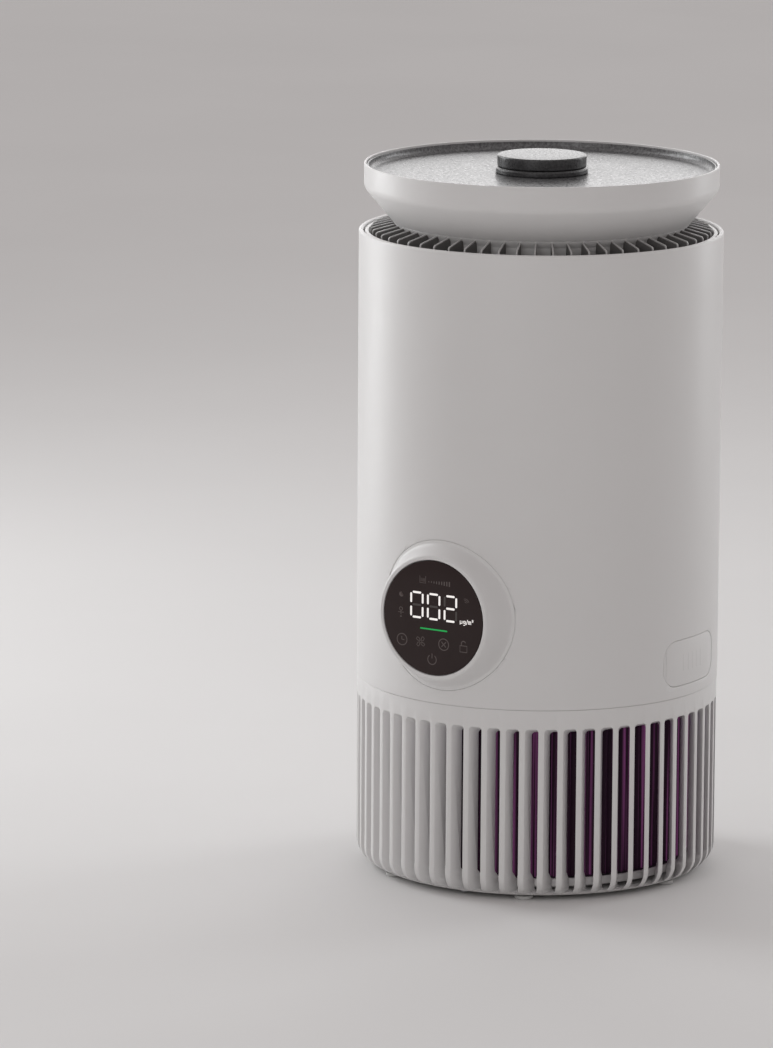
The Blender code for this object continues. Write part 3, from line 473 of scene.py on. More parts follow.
def slot_rows():
    """The slot from its top down: outer point, inner point, slant, and what the corner takes off a side."""
    rows = []
    top, top_inside, corner = 100.1, 97.4, 2.0
    for step in range(7):
        turn = radians(15 * step)
        down = corner * (1 - cos(turn))
        outer, inner = Vector((BASKET_R, top - down)), Vector((BAR_INNER_R, top_inside - down))
        rows.append((outer, inner, BAR_SLANT, corner * (1 - sin(turn))))
    rows.append((Vector((BASKET_R, GUSSET_TOP)), Vector((BAR_INNER_R, GUSSET_TOP)), BAR_SLANT, 0.0))
    for step, taken in enumerate((0.0, 0.0, 0.0, 0.0, 0.0, 0.05, 0.2, 0.5, 1.0)):
        height = BAR_FOOT_TOP + (BASKET_LOW + 3.05 - BAR_FOOT_TOP) * step / 8
        rows.append((lower_corner(54.0 * step / 8), Vector((BAR_FOOT_R, height)), BAR_FOOT_SLANT, taken))
    return rows


def add_slot(work, centre):
    """The cutter of one intake slot between two slanted bars. It ends on the bottom ring."""
    wide = pi / BAR_COUNT - BAR_HALF_ANGLE
    wide_inside = pi / BAR_COUNT - BAR_INNER_HALF_ANGLE
    rings = []
    for outer, inner, slant, taken in slot_rows():
        depth = (outer - inner).length
        ring = []
        for beyond, sides in ((1 + 4.0 / depth, (-1, 1)), (-1.2 / depth, (1, -1))):
            place = inner + (outer - inner) * beyond
            half = wide_inside + (wide - wide_inside) * beyond - taken / place.x
            turn = slant * (1 - beyond)
            ring += [polar(place.x, centre + turn + side * half, place.y) for side in sides]
        rings.append(ring)
    add_capped(work, rings)


def build_basket():
    ring_top = BASKET_LOW + 3.0
    corners = [(RIM_R, BASKET_HIGH, 0.3), (BASKET_R, BASKET_HIGH, 0.35), (BASKET_R, 99.0)]
    corners += [tuple(lower_corner(7.5 * step)) for step in range(13)]
    corners += [
        (81.0, BASKET_LOW, 0.4),
        (81.0, ring_top, 0.4),
        (BAR_FOOT_R, ring_top, 0.3),
        (BAR_FOOT_R, BAR_FOOT_TOP, 0.3),
        (BAR_INNER_R, GUSSET_TOP, 0.5),
        (BAR_INNER_R, 97.0, 0.8),
        (RIM_R, 104.0, 0.8),
    ]
    basket = lathe("basket", corners, "base", "white_shell", ("intake_basket",), segments=240, steps=8)
    slots = bmesh.new()
    for index in range(BAR_COUNT):
        add_slot(slots, 2 * pi * index / BAR_COUNT)
    boolean(basket, slots)
    soften(basket, 0.22, 2)


def build_screw(node, body):
    """A pan-head screw with its head down and a cross recess, in the place of its CAD node."""
    place = middle(node)
    head_r = radius_of(node)
    bottom, top = levels(node)
    length = top - bottom
    shank_r = 1.15
    head = 1.25 if body == "base" else 1.5
    corners = [
        (0, 0),
        (head_r * 0.55, 0.0, 0.6),
        (head_r, head / 2, 0.4),
        (head_r, head - 0.05, 0.1),
        (shank_r, head, 0.1),
    ]
    pitch = 0.7
    height = 2.2
    while height < length - 1.2:
        corners += [(shank_r - 0.22, height), (shank_r, height + pitch / 2)]
        height += pitch
    corners += [(shank_r - 0.3, length - 0.8), (0.2, length), (0, length)]
    screw = lathe(f"fine_{node}", corners, body, "steel", (node,), 24, 3, upright_axis(place, bottom))
    for size in ((head_r * 1.1, 0.6, 1.8), (0.6, head_r * 1.1, 1.8)):
        cut(screw, add_block, (place.x, place.y, bottom), size, 0.4)


def build_foot(node):
    """A round rubber foot with a soft edge and a shallow hollow underneath."""
    radius = radius_of(node)
    top = high(node).z
    corners = [
        (0, 0.3),
        (radius - 2.0, 0.3, 0.2),
        (radius - 1.4, 0.0, 0.2),
        (radius, 0.0, 0.7),
        (radius - 0.2, top, 0.2),
        (0, top),
    ]
    lathe(f"soft_{node}", corners, "base", "pale_rubber", (node,), 40, 4, upright_axis(middle(node)))


def build_base():
    build_basket()
    plate_low, rim = levels("base_plate")
    plate_top = plate_low + 2.2
    seat = low("filter_bottom_cap").z - 0.3
    corners = [
        (0, plate_low),
        (86.0, plate_low, 1.0),
        (92.8, plate_low + 2.4, 0.6),
        (92.8, rim, 0.5),
        (90.9, rim, 0.5),
        (90.9, plate_low + 4.2, 0.8),
        (86.5, plate_top, 1.0),
        (66.5, plate_top, 0.8),
        (66.5, seat, 0.5),
        (62.0, seat, 0.5),
        (62.0, plate_top, 0.8),
        (0, plate_top),
    ]
    lathe("floor_plate", corners, "base", "white_shell", ("base_plate",))
    for index in range(1, 7):
        build_foot(f"foot_{index}")
    for index in range(1, 4):
        build_screw(f"base_screw_{index}", "base")


# ---------- filter


def build_filter():
    media_low, media_high = levels("filter_media")
    pleats = 150
    outer_r = radius_of("filter_media")
    inner_r = 60.5
    depth = 3.2

    # One pleat: the share of its width, and the share of its depth there.
    pleat = ((0.0, 0.25), (0.12, 0.0), (0.26, 0.2), (0.5, 1.0), (0.62, 0.92), (0.86, 0.45))

    def fold(radius, height):
        ring = []
        width = 2 * pi / pleats
        for index in range(pleats):
            start = 2 * pi * index / pleats
            ring += [polar(radius - depth * inward, start + width * part, height) for part, inward in pleat]
        return ring

    work = bmesh.new()
    heights = [media_low + (media_high - media_low) * step / 4 for step in range(5)]
    rings = [fold(outer_r, height) for height in heights]
    rings += [fold(inner_r, height) for height in reversed(heights)]
    add_rings(work, rings)
    finish_mesh("pleated_fleece", work, "filter", "filter_fleece", ("filter_media",), sharp=60)

    cap_r = radius_of("filter_bottom_cap")
    cap_low, cap_high = levels("filter_bottom_cap")
    corners = [
        (0, cap_low + 0.4),
        (58.0, cap_low + 0.4, 0.3),
        (60.0, cap_low, 0.3),
        (cap_r, cap_low, 0.5),
        (cap_r, cap_high, 0.4),
        (0, cap_high),
    ]
    lathe("end_cap", corners, "filter", "black_plastic", ("filter_bottom_cap",))
    ring_low, ring_high = levels("filter_top_cap")
    corners = [
        (52.0, ring_low, 0.3),
        (cap_r, ring_low, 0.6),
        (cap_r, ring_high, 0.9),
        (72.5, ring_high, 0.4),
        (71.5, ring_high - 0.7, 0.4),
        (59.5, ring_high - 0.7, 0.4),
        (58.5, ring_high, 0.4),
        (52.0, ring_high, 0.8),
    ]
    lathe("end_ring", corners, "filter", "black_plastic", ("filter_top_cap",))
    seal_low, seal_high = levels("filter_gasket")
    corners = [
        (61.0, seal_low, 0.4),
        (69.0, seal_low, 0.4),
        (68.2, seal_low + 2.6, 0.8),
        (66.4, seal_low + 3.2, 0.8),
        (67.0, seal_high, 0.9),
        (63.0, seal_high, 0.9),
        (63.6, seal_low + 3.2, 0.8),
        (61.8, seal_low + 2.6, 0.8),
    ]
    lathe("soft_seal", corners, "filter", "black_rubber", ("filter_gasket",))
    build_pull_tab()


def build_pull_tab():
    """A felt tab with round corners, a hem and a slight wave."""
    lowest, highest = low("filter_pull_tab"), high("filter_pull_tab")
    half = Vector((highest.x - lowest.x, highest.y - lowest.y)) / 2
    centre = middle("filter_pull_tab")
    outline = rounded_box(1, 1, 0.3, 6)
    work = bmesh.new()
    rings = []
    edge = [(0.96, 0.05), (1.0, 0.22), (1.0, 0.62), (0.96, 0.80)]
    hem = [(0.86, 0.80), (0.82, 0.68), (0.5, 0.70), (0.1, 0.72)]
    for size, up in edge + hem:
        ring = []
        for x, y in outline:
            wave = 0.16 * (1 + sin(2.4 * x * size + 0.6)) * (up > 0.3)
            across, along = centre.x + half.x * x * size, centre.y + half.y * y * size
            ring.append(Vector((across, along, lowest.z + up + wave)))
        rings.append(ring)
    add_capped(work, rings)
    finish_mesh("felt_tab", work, "filter", "white_felt", ("filter_pull_tab",), sharp=60)


# ---------- body


def build_shell():
    """The body's wall. The rings between its ends keep the shading even round the holes."""
    wall = 2.7
    corners = [
        (BODY_R - wall, SHELL_LOW - 0.25, 0.3),
        (BODY_R, SHELL_LOW - 0.25, 0.3),
        *((BODY_R, 115.0 + 5.0 * step) for step in range(20)),
        *((BODY_R, 220.0 + 7.0 * step) for step in range(7)),
        (BODY_R, 340.0),
        (BODY_R, SHELL_HIGH, 1.3),
        (BODY_R - wall, SHELL_HIGH, 1.3),
    ]
    shell = lathe("body_shell", corners, "housing", "white_shell", ("outer_shell",), segments=360, steps=6)
    cut(shell, add_cylinder_y, BEZEL_R + 0.1, DISPLAY_Z, -120.0, -50.0, 180)
    for side, _ in SIDES:
        cut(shell, add_pill, side, 0.22)
    cut(shell, add_cylinder_y, radius_of("power_inlet") + 0.35, INLET_Z, 70.0, 120.0, 60)
    # The five slits in front of the air sensor.
    vents = bmesh.new()
    spin = Matrix.Rotation(radians(150.0), 3, "Z")
    middle_of_slits = Vector((0, AXIS_Y, 240.0))
    pitch = 4.4
    slit = rounded_box(0.9, 8.0, 0.85, 4)
    for index in range(5):
        shift = (index - 2) * pitch
        rings = []
        for reach in (-90.0, -112.0):
            rings.append([spin @ Vector((x + shift, reach, z)) + middle_of_slits for x, z in slit])
        add_capped(vents, rings)
    boolean(shell, vents)
    soften(shell, 0.2)


def build_bezel():
    """The raised ring round the window: a flange that follows the body, a steep rise and a flat front."""
    steps = 192
    front = GLASS_FRONT + 0.05
    foot_r, top_r = 41.2, 34.4

    def at(rho, angle, y):
        return Vector((rho * cos(angle), y, DISPLAY_Z + rho * sin(angle)))

    def wall(rho, angle, inward=0.0):
        return AXIS_Y - sqrt((BODY_R - inward) ** 2 - (rho * cos(angle)) ** 2)

    angles = [2 * pi * step / steps for step in range(steps)]
    outer, inner = BEZEL_R - 0.35, GLASS_R + 1.3
    rings = []
    for rho, wall_rho, inward in (
        (BEZEL_R, BEZEL_R, 2.6),
        (BEZEL_R, BEZEL_R, 0.35),
        (BEZEL_R - 0.1, BEZEL_R, 0.15),
        (outer, outer, 0.08),
    ):
        rings.append([at(rho, a, wall(wall_rho, a, inward)) for a in angles])
    count = 26
    for index in range(1, count + 1):
        rho = outer + (inner - outer) * index / count
        part = min(1.0, max(0.0, (foot_r - rho) / (foot_r - top_r)))
        flat = 0.06 * (outer - rho) / (outer - inner)
        rise = flat + (1 - flat) * part * part * (3 - 2 * part)
        ring = []
        for a in angles:
            start = wall(rho, a, 0.08)
            ring.append(at(rho, a, start + (front - start) * rise))
        rings.append(ring)
    for grow, back in ((0.85, -0.02), (0.5, 0.08), (0.36, 0.3), (0.34, 2.2)):
        rings.append([at(GLASS_R + grow, a, front + back) for a in angles])
    ledge = low("display_glass").y + 2.4
    for rho, y in ((29.6, ledge), (29.6, ledge + 2.6), (34.5, ledge + 2.6)):
        rings.append([at(rho, a, y) for a in angles])
    work = bmesh.new()
    add_rings(work, rings)
    finish_mesh("window_ring", work, "housing", "white_shell", ("display_bezel",), sharp=50)


def facing_front(radius, angle, depth):
    return Vector((radius * cos(angle), GLASS_FRONT + depth, DISPLAY_Z + radius * sin(angle)))


def build_glass():
    thick = 2.0
    corners = [(0, 0), (GLASS_R * 0.5, 0), (GLASS_R, 0, 0.35), (GLASS_R, thick, 0.2), (0, thick)]
    lathe("window", corners, "housing", "display_glass", ("display_glass",), 160, 4, facing_front)


# ---------- signs on the window, in window radii


SIGN_BACK = -0.02
SIGN_FRONT = 0.06


def on_window(u, v, forward):
    return Vector((u * GLASS_R, GLASS_FRONT - forward, DISPLAY_Z + v * GLASS_R))


def add_plate(work, outline):
    """A thin flat plate on the window, from an outline in window radii."""
    add_capped(work, [[on_window(u, v, forward) for u, v in outline] for forward in (SIGN_BACK, SIGN_FRONT)])


def add_stroke(work, path, width, closed=False):
    """A line of even width along a path."""
    points = [Vector(point) for point in path]
    count = len(points)
    sides = []
    for index, point in enumerate(points):
        before = points[index - 1] if index or closed else point
        after = points[(index + 1) % count] if index < count - 1 or closed else point
        way = (after - before).normalized()
        side = Vector((-way.y, way.x)) * (width / 2)
        sides.append((point + side, point - side))
    rings = []
    for a, b in sides:
        corners = ((a, SIGN_BACK), (a, SIGN_FRONT), (b, SIGN_FRONT), (b, SIGN_BACK))
        rings.append([on_window(*point, forward) for point, forward in corners])
    if closed:
        add_rings(work, rings)
    else:
        add_capped(work, rings)


def arc(centre, radius, start=0.0, end=360.0, steps=32):
    """Points round an arc. A full turn leaves out its last point."""
    last = steps if abs(end - start) < 360 else steps - 1
    angles = [radians(start + (end - start) * step / steps) for step in range(last + 1)]
    return [(centre[0] + radius * cos(a), centre[1] + radius * sin(a)) for a in angles]


def add_ring(work, centre, radius, width):
    add_stroke(work, arc(centre, radius), width, closed=True)


def digit_bars(u, v):
    """The seven bars of one digit: name to outline. They have cut corners and small gaps between them."""
    half_w, half_h, thick = 0.117, 0.217, 0.036
    reach = 0.088
    t = thick / 2

    def level(height):
        cut_in = thick * 0.35
        return [
            (u - reach, v + height),
            (u - reach + cut_in, v + height + t),
            (u + reach - cut_in, v + height + t),
            (u + reach, v + height),
            (u + reach - cut_in, v + height - t),
            (u - reach + cut_in, v + height - t),
        ]

    def upright(across, way):
        cut_in = thick * 0.35 * way
        first, last = 0.028 * way, (half_h - 0.012) * way
        return [
            (u + across, v + first),
            (u + across + t, v + first + cut_in),
            (u + across + t, v + last - cut_in),
            (u + across, v + last),
            (u + across - t, v + last - cut_in),
            (u + across - t, v + first + cut_in),
        ]

    return {
        "top": level(half_h),
        "middle": level(0.0),
        "bottom": level(-half_h),
        "top_left": upright(-half_w, 1),
        "top_right": upright(half_w, 1),
        "bottom_left": upright(-half_w, -1),
        "bottom_right": upright(half_w, -1),
    }


def build_signs():
    lit = bmesh.new()
    faint = bmesh.new()
    dark_in_zero = {"middle"}
    dark_in_two = {"top_left", "bottom_right"}
    for u, dark in ((-0.325, dark_in_zero), (0.015, dark_in_zero), (0.355, dark_in_two)):
        for name, outline in digit_bars(u, 0.20).items():
            add_plate(faint if name in dark else lit, outline)
    add_unit(lit)
    finish_mesh("lit_digits", lit, "housing", "display_glass", paint=LIT_WHITE)
    finish_mesh("faint_bars", faint, "housing", "display_glass", paint=FAINT_SIGN)

    green = bmesh.new()
    half_h = 0.0125
    add_plate(green, rounded_box(0.275, half_h, half_h * 0.9, 3, (0.02, -0.2)))
    finish_mesh("air_quality_bar", green, "housing", "display_glass", paint=LIT_GREEN)

    dim = bmesh.new()
    for add_sign in (add_filter_life, add_side_signs, add_keys):
        add_sign(dim)
    finish_mesh("dim_signs", dim, "housing", "display_glass", paint=DIM_SIGN)


def add_unit(work):
    """The small unit after the digits: micrograms per cubic metre."""
    u, v, w = 0.555, -0.024, 0.0115
    tall = 0.066
    shoulder = tall * 0.72
    add_stroke(work, [(u, v - 0.022), (u, v + shoulder)], w)
    add_stroke(work, [(u, v), (u + 0.034, v)], w)
    add_stroke(work, [(u + 0.038, v - 0.004), (u + 0.038, v + shoulder)], w)
    u += 0.064
    add_stroke(work, arc((u + 0.017, v + 0.026), 0.019, steps=14), w, closed=True)
    tail = [(u + 0.040, v + shoulder), (u + 0.040, v - 0.016), (u + 0.026, v - 0.028), (u, v - 0.026)]
    add_stroke(work, tail, w)
    u += 0.060
    add_stroke(work, [(u, v - 0.014), (u + 0.026, v + tall + 0.008)], w)
    u += 0.042
    for step in range(3):
        add_stroke(work, [(u + 0.024 * step, v - 0.006), (u + 0.024 * step, v + tall * 0.7)], w)
    add_stroke(work, [(u - 0.006, v + tall * 0.7), (u + 0.054, v + tall * 0.7)], w)
    u += 0.070
    for height in (0.044, 0.062, 0.080):
        add_stroke(work, [(u, v + height), (u + 0.022, v + height)], 0.010)
    add_stroke(work, [(u + 0.022, v + 0.042), (u + 0.022, v + 0.082)], 0.010)


def add_filter_life(work):
    """A filter sign and a row of growing ticks."""
    u, v = -0.209, 0.645
    half = 0.058
    w = 0.010
    cup = [(u - half, v + 0.070), (u - half, v - 0.050), (u + half, v - 0.050), (u + half, v + 0.070)]
    add_stroke(work, cup, w)
    for step in range(4):
        across = u - 0.033 + 0.022 * step
        add_stroke(work, [(across, v - 0.026), (across, v + 0.034)], 0.008)
    for step in range(9):
        across = -0.085 + 0.052 * step
        tall = 0.018 + 0.0085 * step
        add_stroke(work, [(across, 0.628 - tall / 2), (across, 0.628 + tall / 2)], 0.015 + 0.0012 * step)


def add_side_signs(work):
    """A moon and a figure left of the digits, and a radio sign right of them."""
    u, v = -0.642, 0.350
    add_plate(work, arc((u, v), 0.044, 87, 343, 20) + arc((u + 0.018, v + 0.0127), 0.0352, 313, 117, 14))
    u, v = -0.649, 0.045
    w = 0.012
    add_ring(work, (u, v + 0.048), 0.030, w)
    add_stroke(work, [(u - 0.055, v - 0.012), (u + 0.055, v - 0.012)], w)
    add_stroke(work, [(u, v + 0.018), (u, v - 0.052)], w)
    add_plate(work, arc((u, v - 0.085), 0.015, steps=12))
    u, v = 0.674, 0.355
    for radius in (0.024, 0.052, 0.080):
        add_stroke(work, arc((u - 0.02, v - 0.025), radius, 20, 110, 10), 0.009)


def add_keys(work):
    """The five touch keys: timer, fan, mode, lock and power."""
    w = 0.016
    clock = (-0.623, -0.442)
    add_ring(work, clock, 0.100, w)
    hands = [
        (clock[0] - 0.006, clock[1] + 0.052),
        (clock[0] - 0.006, clock[1]),
        (clock[0] + 0.048, clock[1] - 0.006),
    ]
    add_stroke(work, hands, w)
    fan = (-0.247, -0.438)
    blade = ((0.018, -0.5), (0.060, -0.42), (0.098, -0.10), (0.098, 0.30), (0.070, 0.46), (0.030, 0.30))
    for quarter in range(4):
        turn = radians(45 + 90 * quarter)
        outline = [(fan[0] + r * cos(turn + a), fan[1] + r * sin(turn + a)) for r, a in blade]
        add_stroke(work, outline, 0.013, closed=True)
    mode = (0.224, -0.439)
    add_ring(work, mode, 0.100, w)
    arm = 0.045
    for way in (arm, -arm):
        add_stroke(work, [(mode[0] - arm, mode[1] - way), (mode[0] + arm, mode[1] + way)], w)
    lock_u, lock_v = 0.6255, -0.470
    add_stroke(work, rounded_box(0.07, 0.055, 0, centre=(lock_u, lock_v)), w, closed=True)
    shackle = arc((lock_u, lock_v + 0.095), 0.042, 20, 180, 14)
    add_stroke(work, shackle + [(lock_u - 0.042, lock_v + 0.055)], w)
    power = (-0.010, -0.729)
    add_stroke(work, arc(power, 0.086, 125, 415, 32), w)
    add_stroke(work, [(power[0], power[1] + 0.105), (power[0], power[1] + 0.02)], w)


# ---------- release buttons


def build_button(side, word):
    """The button follows the body's curve. Five low ridges give the thumb a grip."""
    work = bmesh.new()
    inner, outer, bottom, top = BODY_R - 2.5, BODY_R - 0.1, 115.0, 147.0
    add_lathe(work, [(inner, bottom), (outer, bottom), (outer, top), (inner, top)], 360, 1)
    button = finish_mesh(f"{word}_button", work, f"button_{word}", "white_shell", (f"push_button_{word}",))
    mould = bmesh.new()
    add_pill(mould, side)
    boolean(button, mould, "INTERSECT")
    soften(button, 0.35, 3)
    ridges = bmesh.new()
    pitch = 4.6
    outline = rounded_box(0.55, 5.0, 0.5, 4)
    for index in range(5):
        across = (index - 2) * pitch
        rings = []
        for size, lift in ((1.0, -0.4), (1.0, -0.10), (0.75, -0.03)):
            ring = []
            for y, z in outline:
                here = across + y * size
                x = sqrt((BODY_R + lift) ** 2 - here**2)
                ring.append(Vector((side * x, AXIS_Y + here, BUTTON_Z + z * (1 - (1 - size) * 0.1))))
            rings.append(ring)
        add_capped(ridges, rings)
    finish_mesh(f"{word}_button_ridges", ridges, f"button_{word}", "white_shell", sharp=60)


def build_spring(side, word):
    """The coil spring behind a release button."""
    node = f"latch_spring_{word}"
    wire_r, coil_r, turns, steps = 0.4, 4.0, 3, 24
    start, end = sorted((abs(low(node).x), abs(high(node).x)))
    length = end - start
    sideways = Vector((wire_r, 0.0, 0.0))
    section = [pi * step / 4 for step in range(8)]
    rings = []
    for step in range(turns * steps + 1):
        angle = 2 * pi * step / steps
        along = start + wire_r + (length - 2 * wire_r) * step / (turns * steps)
        out = Vector((0.0, cos(angle), sin(angle)))
        centre = Vector((side * along, AXIS_Y, BUTTON_Z)) + out * coil_r
        rings.append([centre + out * wire_r * cos(a) + sideways * sin(a) for a in section])
    work = bmesh.new()
    add_capped(work, rings)
    spring = finish_mesh(f"fine_{node}", work, "housing", "steel", (node,))
    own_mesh(spring)


# ---------- parts under and inside the body


def build_lower_housing():
    floor_low, mouth = levels("intake_plate")
    floor_high = floor_low + 2.2
    corners = [
        (60.0, floor_low, 0.8),
        (RIM_R, floor_low, 0.3),
        (RIM_R, floor_high, 0.3),
        (60.4, floor_high, 2.0),
        (53.8, mouth, 0.8),
        (51.4, mouth, 0.8),
        (54.4, floor_high + 0.6, 3.0),
    ]
    plate = lathe("intake_floor", corners, "housing", "fan_grey_plastic", ("intake_plate",))
    for side, _ in SIDES:
        cut(plate, add_block, (side * 95.3, AXIS_Y, floor_low + 1), (11.4, 18.0, 6.0))

    guard_low, guard_high = levels("intake_guard")
    work = bmesh.new()
    for inner, outer in ((48.5, 53.4), (31.0, 32.6), (22.5, 24.1), (40.0, 41.6)):
        low_edge = [(inner, guard_low, 0.4), (outer, guard_low, 0.4)]
        add_lathe(work, low_edge + [(outer, guard_high, 0.4), (inner, guard_high, 0.4)])
    add_lathe(work, [(0, guard_low), (15.0, guard_low, 0.8), (15.0, guard_high, 0.4), (0, guard_high)], 96)
    for index in range(8):
        turn = 2 * pi * index / 8
        centre = polar(32.0, turn, (guard_low + guard_high) / 2)
        add_block(work, centre, (1.7, 37.0, guard_high - guard_low - 0.2), turn)
    finish_mesh("mouth_guard", work, "housing", "fan_grey_plastic", ("intake_guard",))

    lamp_low, lamp_high = levels("uv_light_ring")
    corners = [
        (86.0, lamp_high, 0.2),
        (86.0, lamp_low + 0.6, 0.8),
        (87.0, lamp_low, 0.5),
        (88.4, lamp_low, 0.5),
        (89.4, lamp_low + 0.6, 0.8),
        (89.4, lamp_high, 0.2),
    ]
    lathe("lamp_ring", corners, "housing", "violet_light", ("uv_light_ring",))
    for index in range(1, 4):
        build_screw(f"plate_screw_{index}", "housing")


def build_duct_flare():
    flare_low, lip = levels("duct_flare")
    corners = [
        (86.5, flare_low),
        (86.5, 340.0, 8.0),
        (RIM_R, 357.0, 6.0),
        (RIM_R, lip, 0.9),
        (97.2, lip, 0.9),
        (97.2, 356.6, 6.0),
        (84.5, 341.0, 8.0),
        (84.5, flare_low),
    ]
    lathe("duct_lip", corners, "housing", "white_shell", ("duct_flare",), 200)


def build_inlet():
    """A round low-voltage socket with a centre pin."""

    def facing_back(radius, angle, depth):
        return Vector((radius * cos(angle), INLET_Y - depth, INLET_Z - radius * sin(angle)))

    corners = [
        (0, 2.6),
        (1.0, 2.6, 0.3),
        (1.0, 8.5),
        (2.9, 8.5),
        (2.9, 0.4, 0.3),
        (3.4, 0.0, 0.2),
        (7.4, 0.0, 0.6),
        (7.4, 3.6),
        (5.8, 3.6),
        (5.8, 10.5),
        (0, 10.5),
    ]
    lathe("low_voltage_socket", corners, "housing", "black_plastic", ("power_inlet",), 64, 4, facing_back)


# ---------- outlet and top


def add_fins(work, outline, half):
    """Upright plates with this outline of (radius, height) corners, one to each fin."""
    for index in range(FIN_COUNT):
        turn = FIN_FIRST_ANGLE + 2 * pi * index / FIN_COUNT
        across = polar(half, turn + pi / 2, 0) - Vector((0, AXIS_Y, 0))
        add_capped(work, [[polar(r, turn, z) + across * side for r, z in outline] for side in (-1, 1)])


def build_grille():
    """Thin fins that run out from a ring, with a painted highlight in a lighter paint along their edges. The
    ring carries on the dish's cone downwards.
    """
    bottom = low("outlet_grille").z
    root, tip = 82.4, radius_of("outlet_grille")
    root_top, tip_top = 371.35, 367.8
    fins = bmesh.new()
    add_lathe(fins, [(80.2, bottom, 0.3), (81.2, bottom, 0.3), (81.2, 362.0), (80.2, 362.0)])
    corners = [
        (80.6, bottom + 1.0),
        (90.0, bottom + 1.0, 4.0),
        (tip - 0.2, bottom + 4.2, 1.0),
        (tip - 0.2, tip_top - 0.25, 1.4),
        (root, root_top - 0.3),
    ]
    add_fins(fins, rounded(corners, 4), 0.40)
    finish_mesh("outlet_fins", fins, "housing", "grille_dark_grey", ("outlet_grille",))
    # A thin skin over each fin's top and outer edge, in the lighter paint: a painted highlight along the
    # edges.
    edges = bmesh.new()
    corners = [
        (root, root_top),
        (tip, tip_top, 1.7),
        (tip, bottom + 4.4),
        (tip - 0.6, bottom + 4.4),
        (tip - 0.6, tip_top - 0.5, 1.2),
        (root, root_top - 0.55),
    ]
    add_fins(edges, rounded(corners, 4), 0.46)
    finish_mesh("fin_edges_painted_highlight", edges, "housing", "grille_dark_grey", paint=FIN_EDGE_PAINTED_HIGHLIGHT)
    skirt_top = DISH_LOW - 0.05
    corners = [
        (80.25, 361.5, 0.2),
        (81.3, 361.5, 0.2),
        (81.3, 367.8, 1.5),
        (84.2, skirt_top, 0.1),
        (82.6, skirt_top, 0.2),
        (80.25, 368.2, 1.0),
    ]
    lathe("cone_skirt", corners, "housing", "white_shell", segments=256)


def build_dish():
    corner = 7.5
    corners = [
        (25.4, DISH_LOW, 0.4),
        (84.2, DISH_LOW, 0.3),
        (DISH_R, DISH_LOW + 18.9, corner),
        (DISH_R, DISH_HIGH, 0.6),
        (98.9, DISH_HIGH, 0.5),
        (98.9, DISH_LOW + 20.5, corner - 2),
        (83.8, DISH_LOW + 2.0, 2.0),
        (25.4, DISH_LOW + 2.0, 0.4),
    ]
    lathe("dish", corners, "housing", "white_shell", ("top_cone",), 256, 12)
    corners = [
        (23.4, TRAY_LOW, 0.3),
        (98.5, TRAY_LOW, 0.5),
        (98.5, TRAY_HIGH - 0.5, 0.2),
        (97.6, TRAY_HIGH - 0.5, 0.2),
        (97.4, TRAY_FLOOR, 3.2),
        (60.0, TRAY_FLOOR),
        (23.4, TRAY_FLOOR, 0.3),
    ]
    lathe("tray", corners, "housing", "tray_grey", ("top_inlay",), 256)


def build_knob():
    # The knob and its seat use the darker copy of the tray's grey, painted shade for the knob's side.
    collar_low = low("knob_collar").z
    collar_r = radius_of("knob_collar")
    corners = [
        (22.6, collar_low, 0.2),
        (collar_r, collar_low, 0.3),
        (collar_r, COLLAR_HIGH - 0.9, 0.4),
        (collar_r - 0.9, COLLAR_HIGH, 0.5),
        (22.6, COLLAR_HIGH, 0.3),
    ]
    lathe("knob_seat", corners, "housing", "tray_grey", ("knob_collar",), 192, paint=KNOB_GREY_PAINTED_SHADE)
    side_low = COLLAR_HIGH + 0.3
    skirt_low = low("aroma_knob").z
    hollow_top = KNOB_HIGH - 2.6
    corners = [
        (0, hollow_top),
        (20.6, hollow_top, 1.0),
        (20.6, skirt_low, 0.4),
        (22.2, skirt_low, 0.4),
        (22.2, side_low, 0.5),
        (KNOB_R, side_low, 0.7),
        (KNOB_R, KNOB_HIGH, 0.9),
        (12.0, KNOB_HIGH),
        (0, KNOB_HIGH),
    ]
    lathe("knob", corners, "knob", "tray_grey", ("aroma_knob",), 192, 6, paint=KNOB_GREY_PAINTED_SHADE)
    cup_low, cup_high = levels("aroma_cup")
    corners = [
        (0, cup_low),
        (24.8, cup_low, 1.5),
        (24.8, cup_high - 2.4, 0.4),
        (28.5, cup_high - 2.4, 0.3),
        (28.5, cup_high, 0.3),
        (22.9, cup_high, 0.8),
        (22.9, cup_low + 1.6, 1.5),
        (0, cup_low + 1.6),
    ]
    lathe("scent_cup", corners, "housing", "inner_white_plastic", ("aroma_cup",), 128)
    build_scent_pad()


def build_scent_pad():
    """A felt disc with a soft, slightly uneven edge and face."""
    pad_r = radius_of("aroma_pad")
    pad_low, pad_high = levels("aroma_pad")
    segments = 96
    thick = pad_high - pad_low
    under = [(0.3, 0.0), (0.85, 0.0), (0.97, 0.08), (1.0, 0.30)]
    face = [(1.0, 0.70), (0.97, 0.90), (0.88, 0.97), (0.6, 0.96), (0.3, 0.95)]
    rings = []
    for size, up in under + face:
        ring = []
        for step in range(segments):
            angle = 2 * pi * step / segments
            ripple = 0.12 * sin(5 * angle + 3 * size) + 0.08 * sin(11 * angle + 1)
            height = pad_low + thick * up + ripple * up * (size < 1.0)
            ring.append(polar(pad_r * size - 0.15 * (1 + sin(7 * angle)), angle, height))
        rings.append(ring)
    work = bmesh.new()
    add_capped(work, rings)
    finish_mesh("scent_felt", work, "housing", "white_felt", ("aroma_pad",), sharp=60)


# ---------- whole object


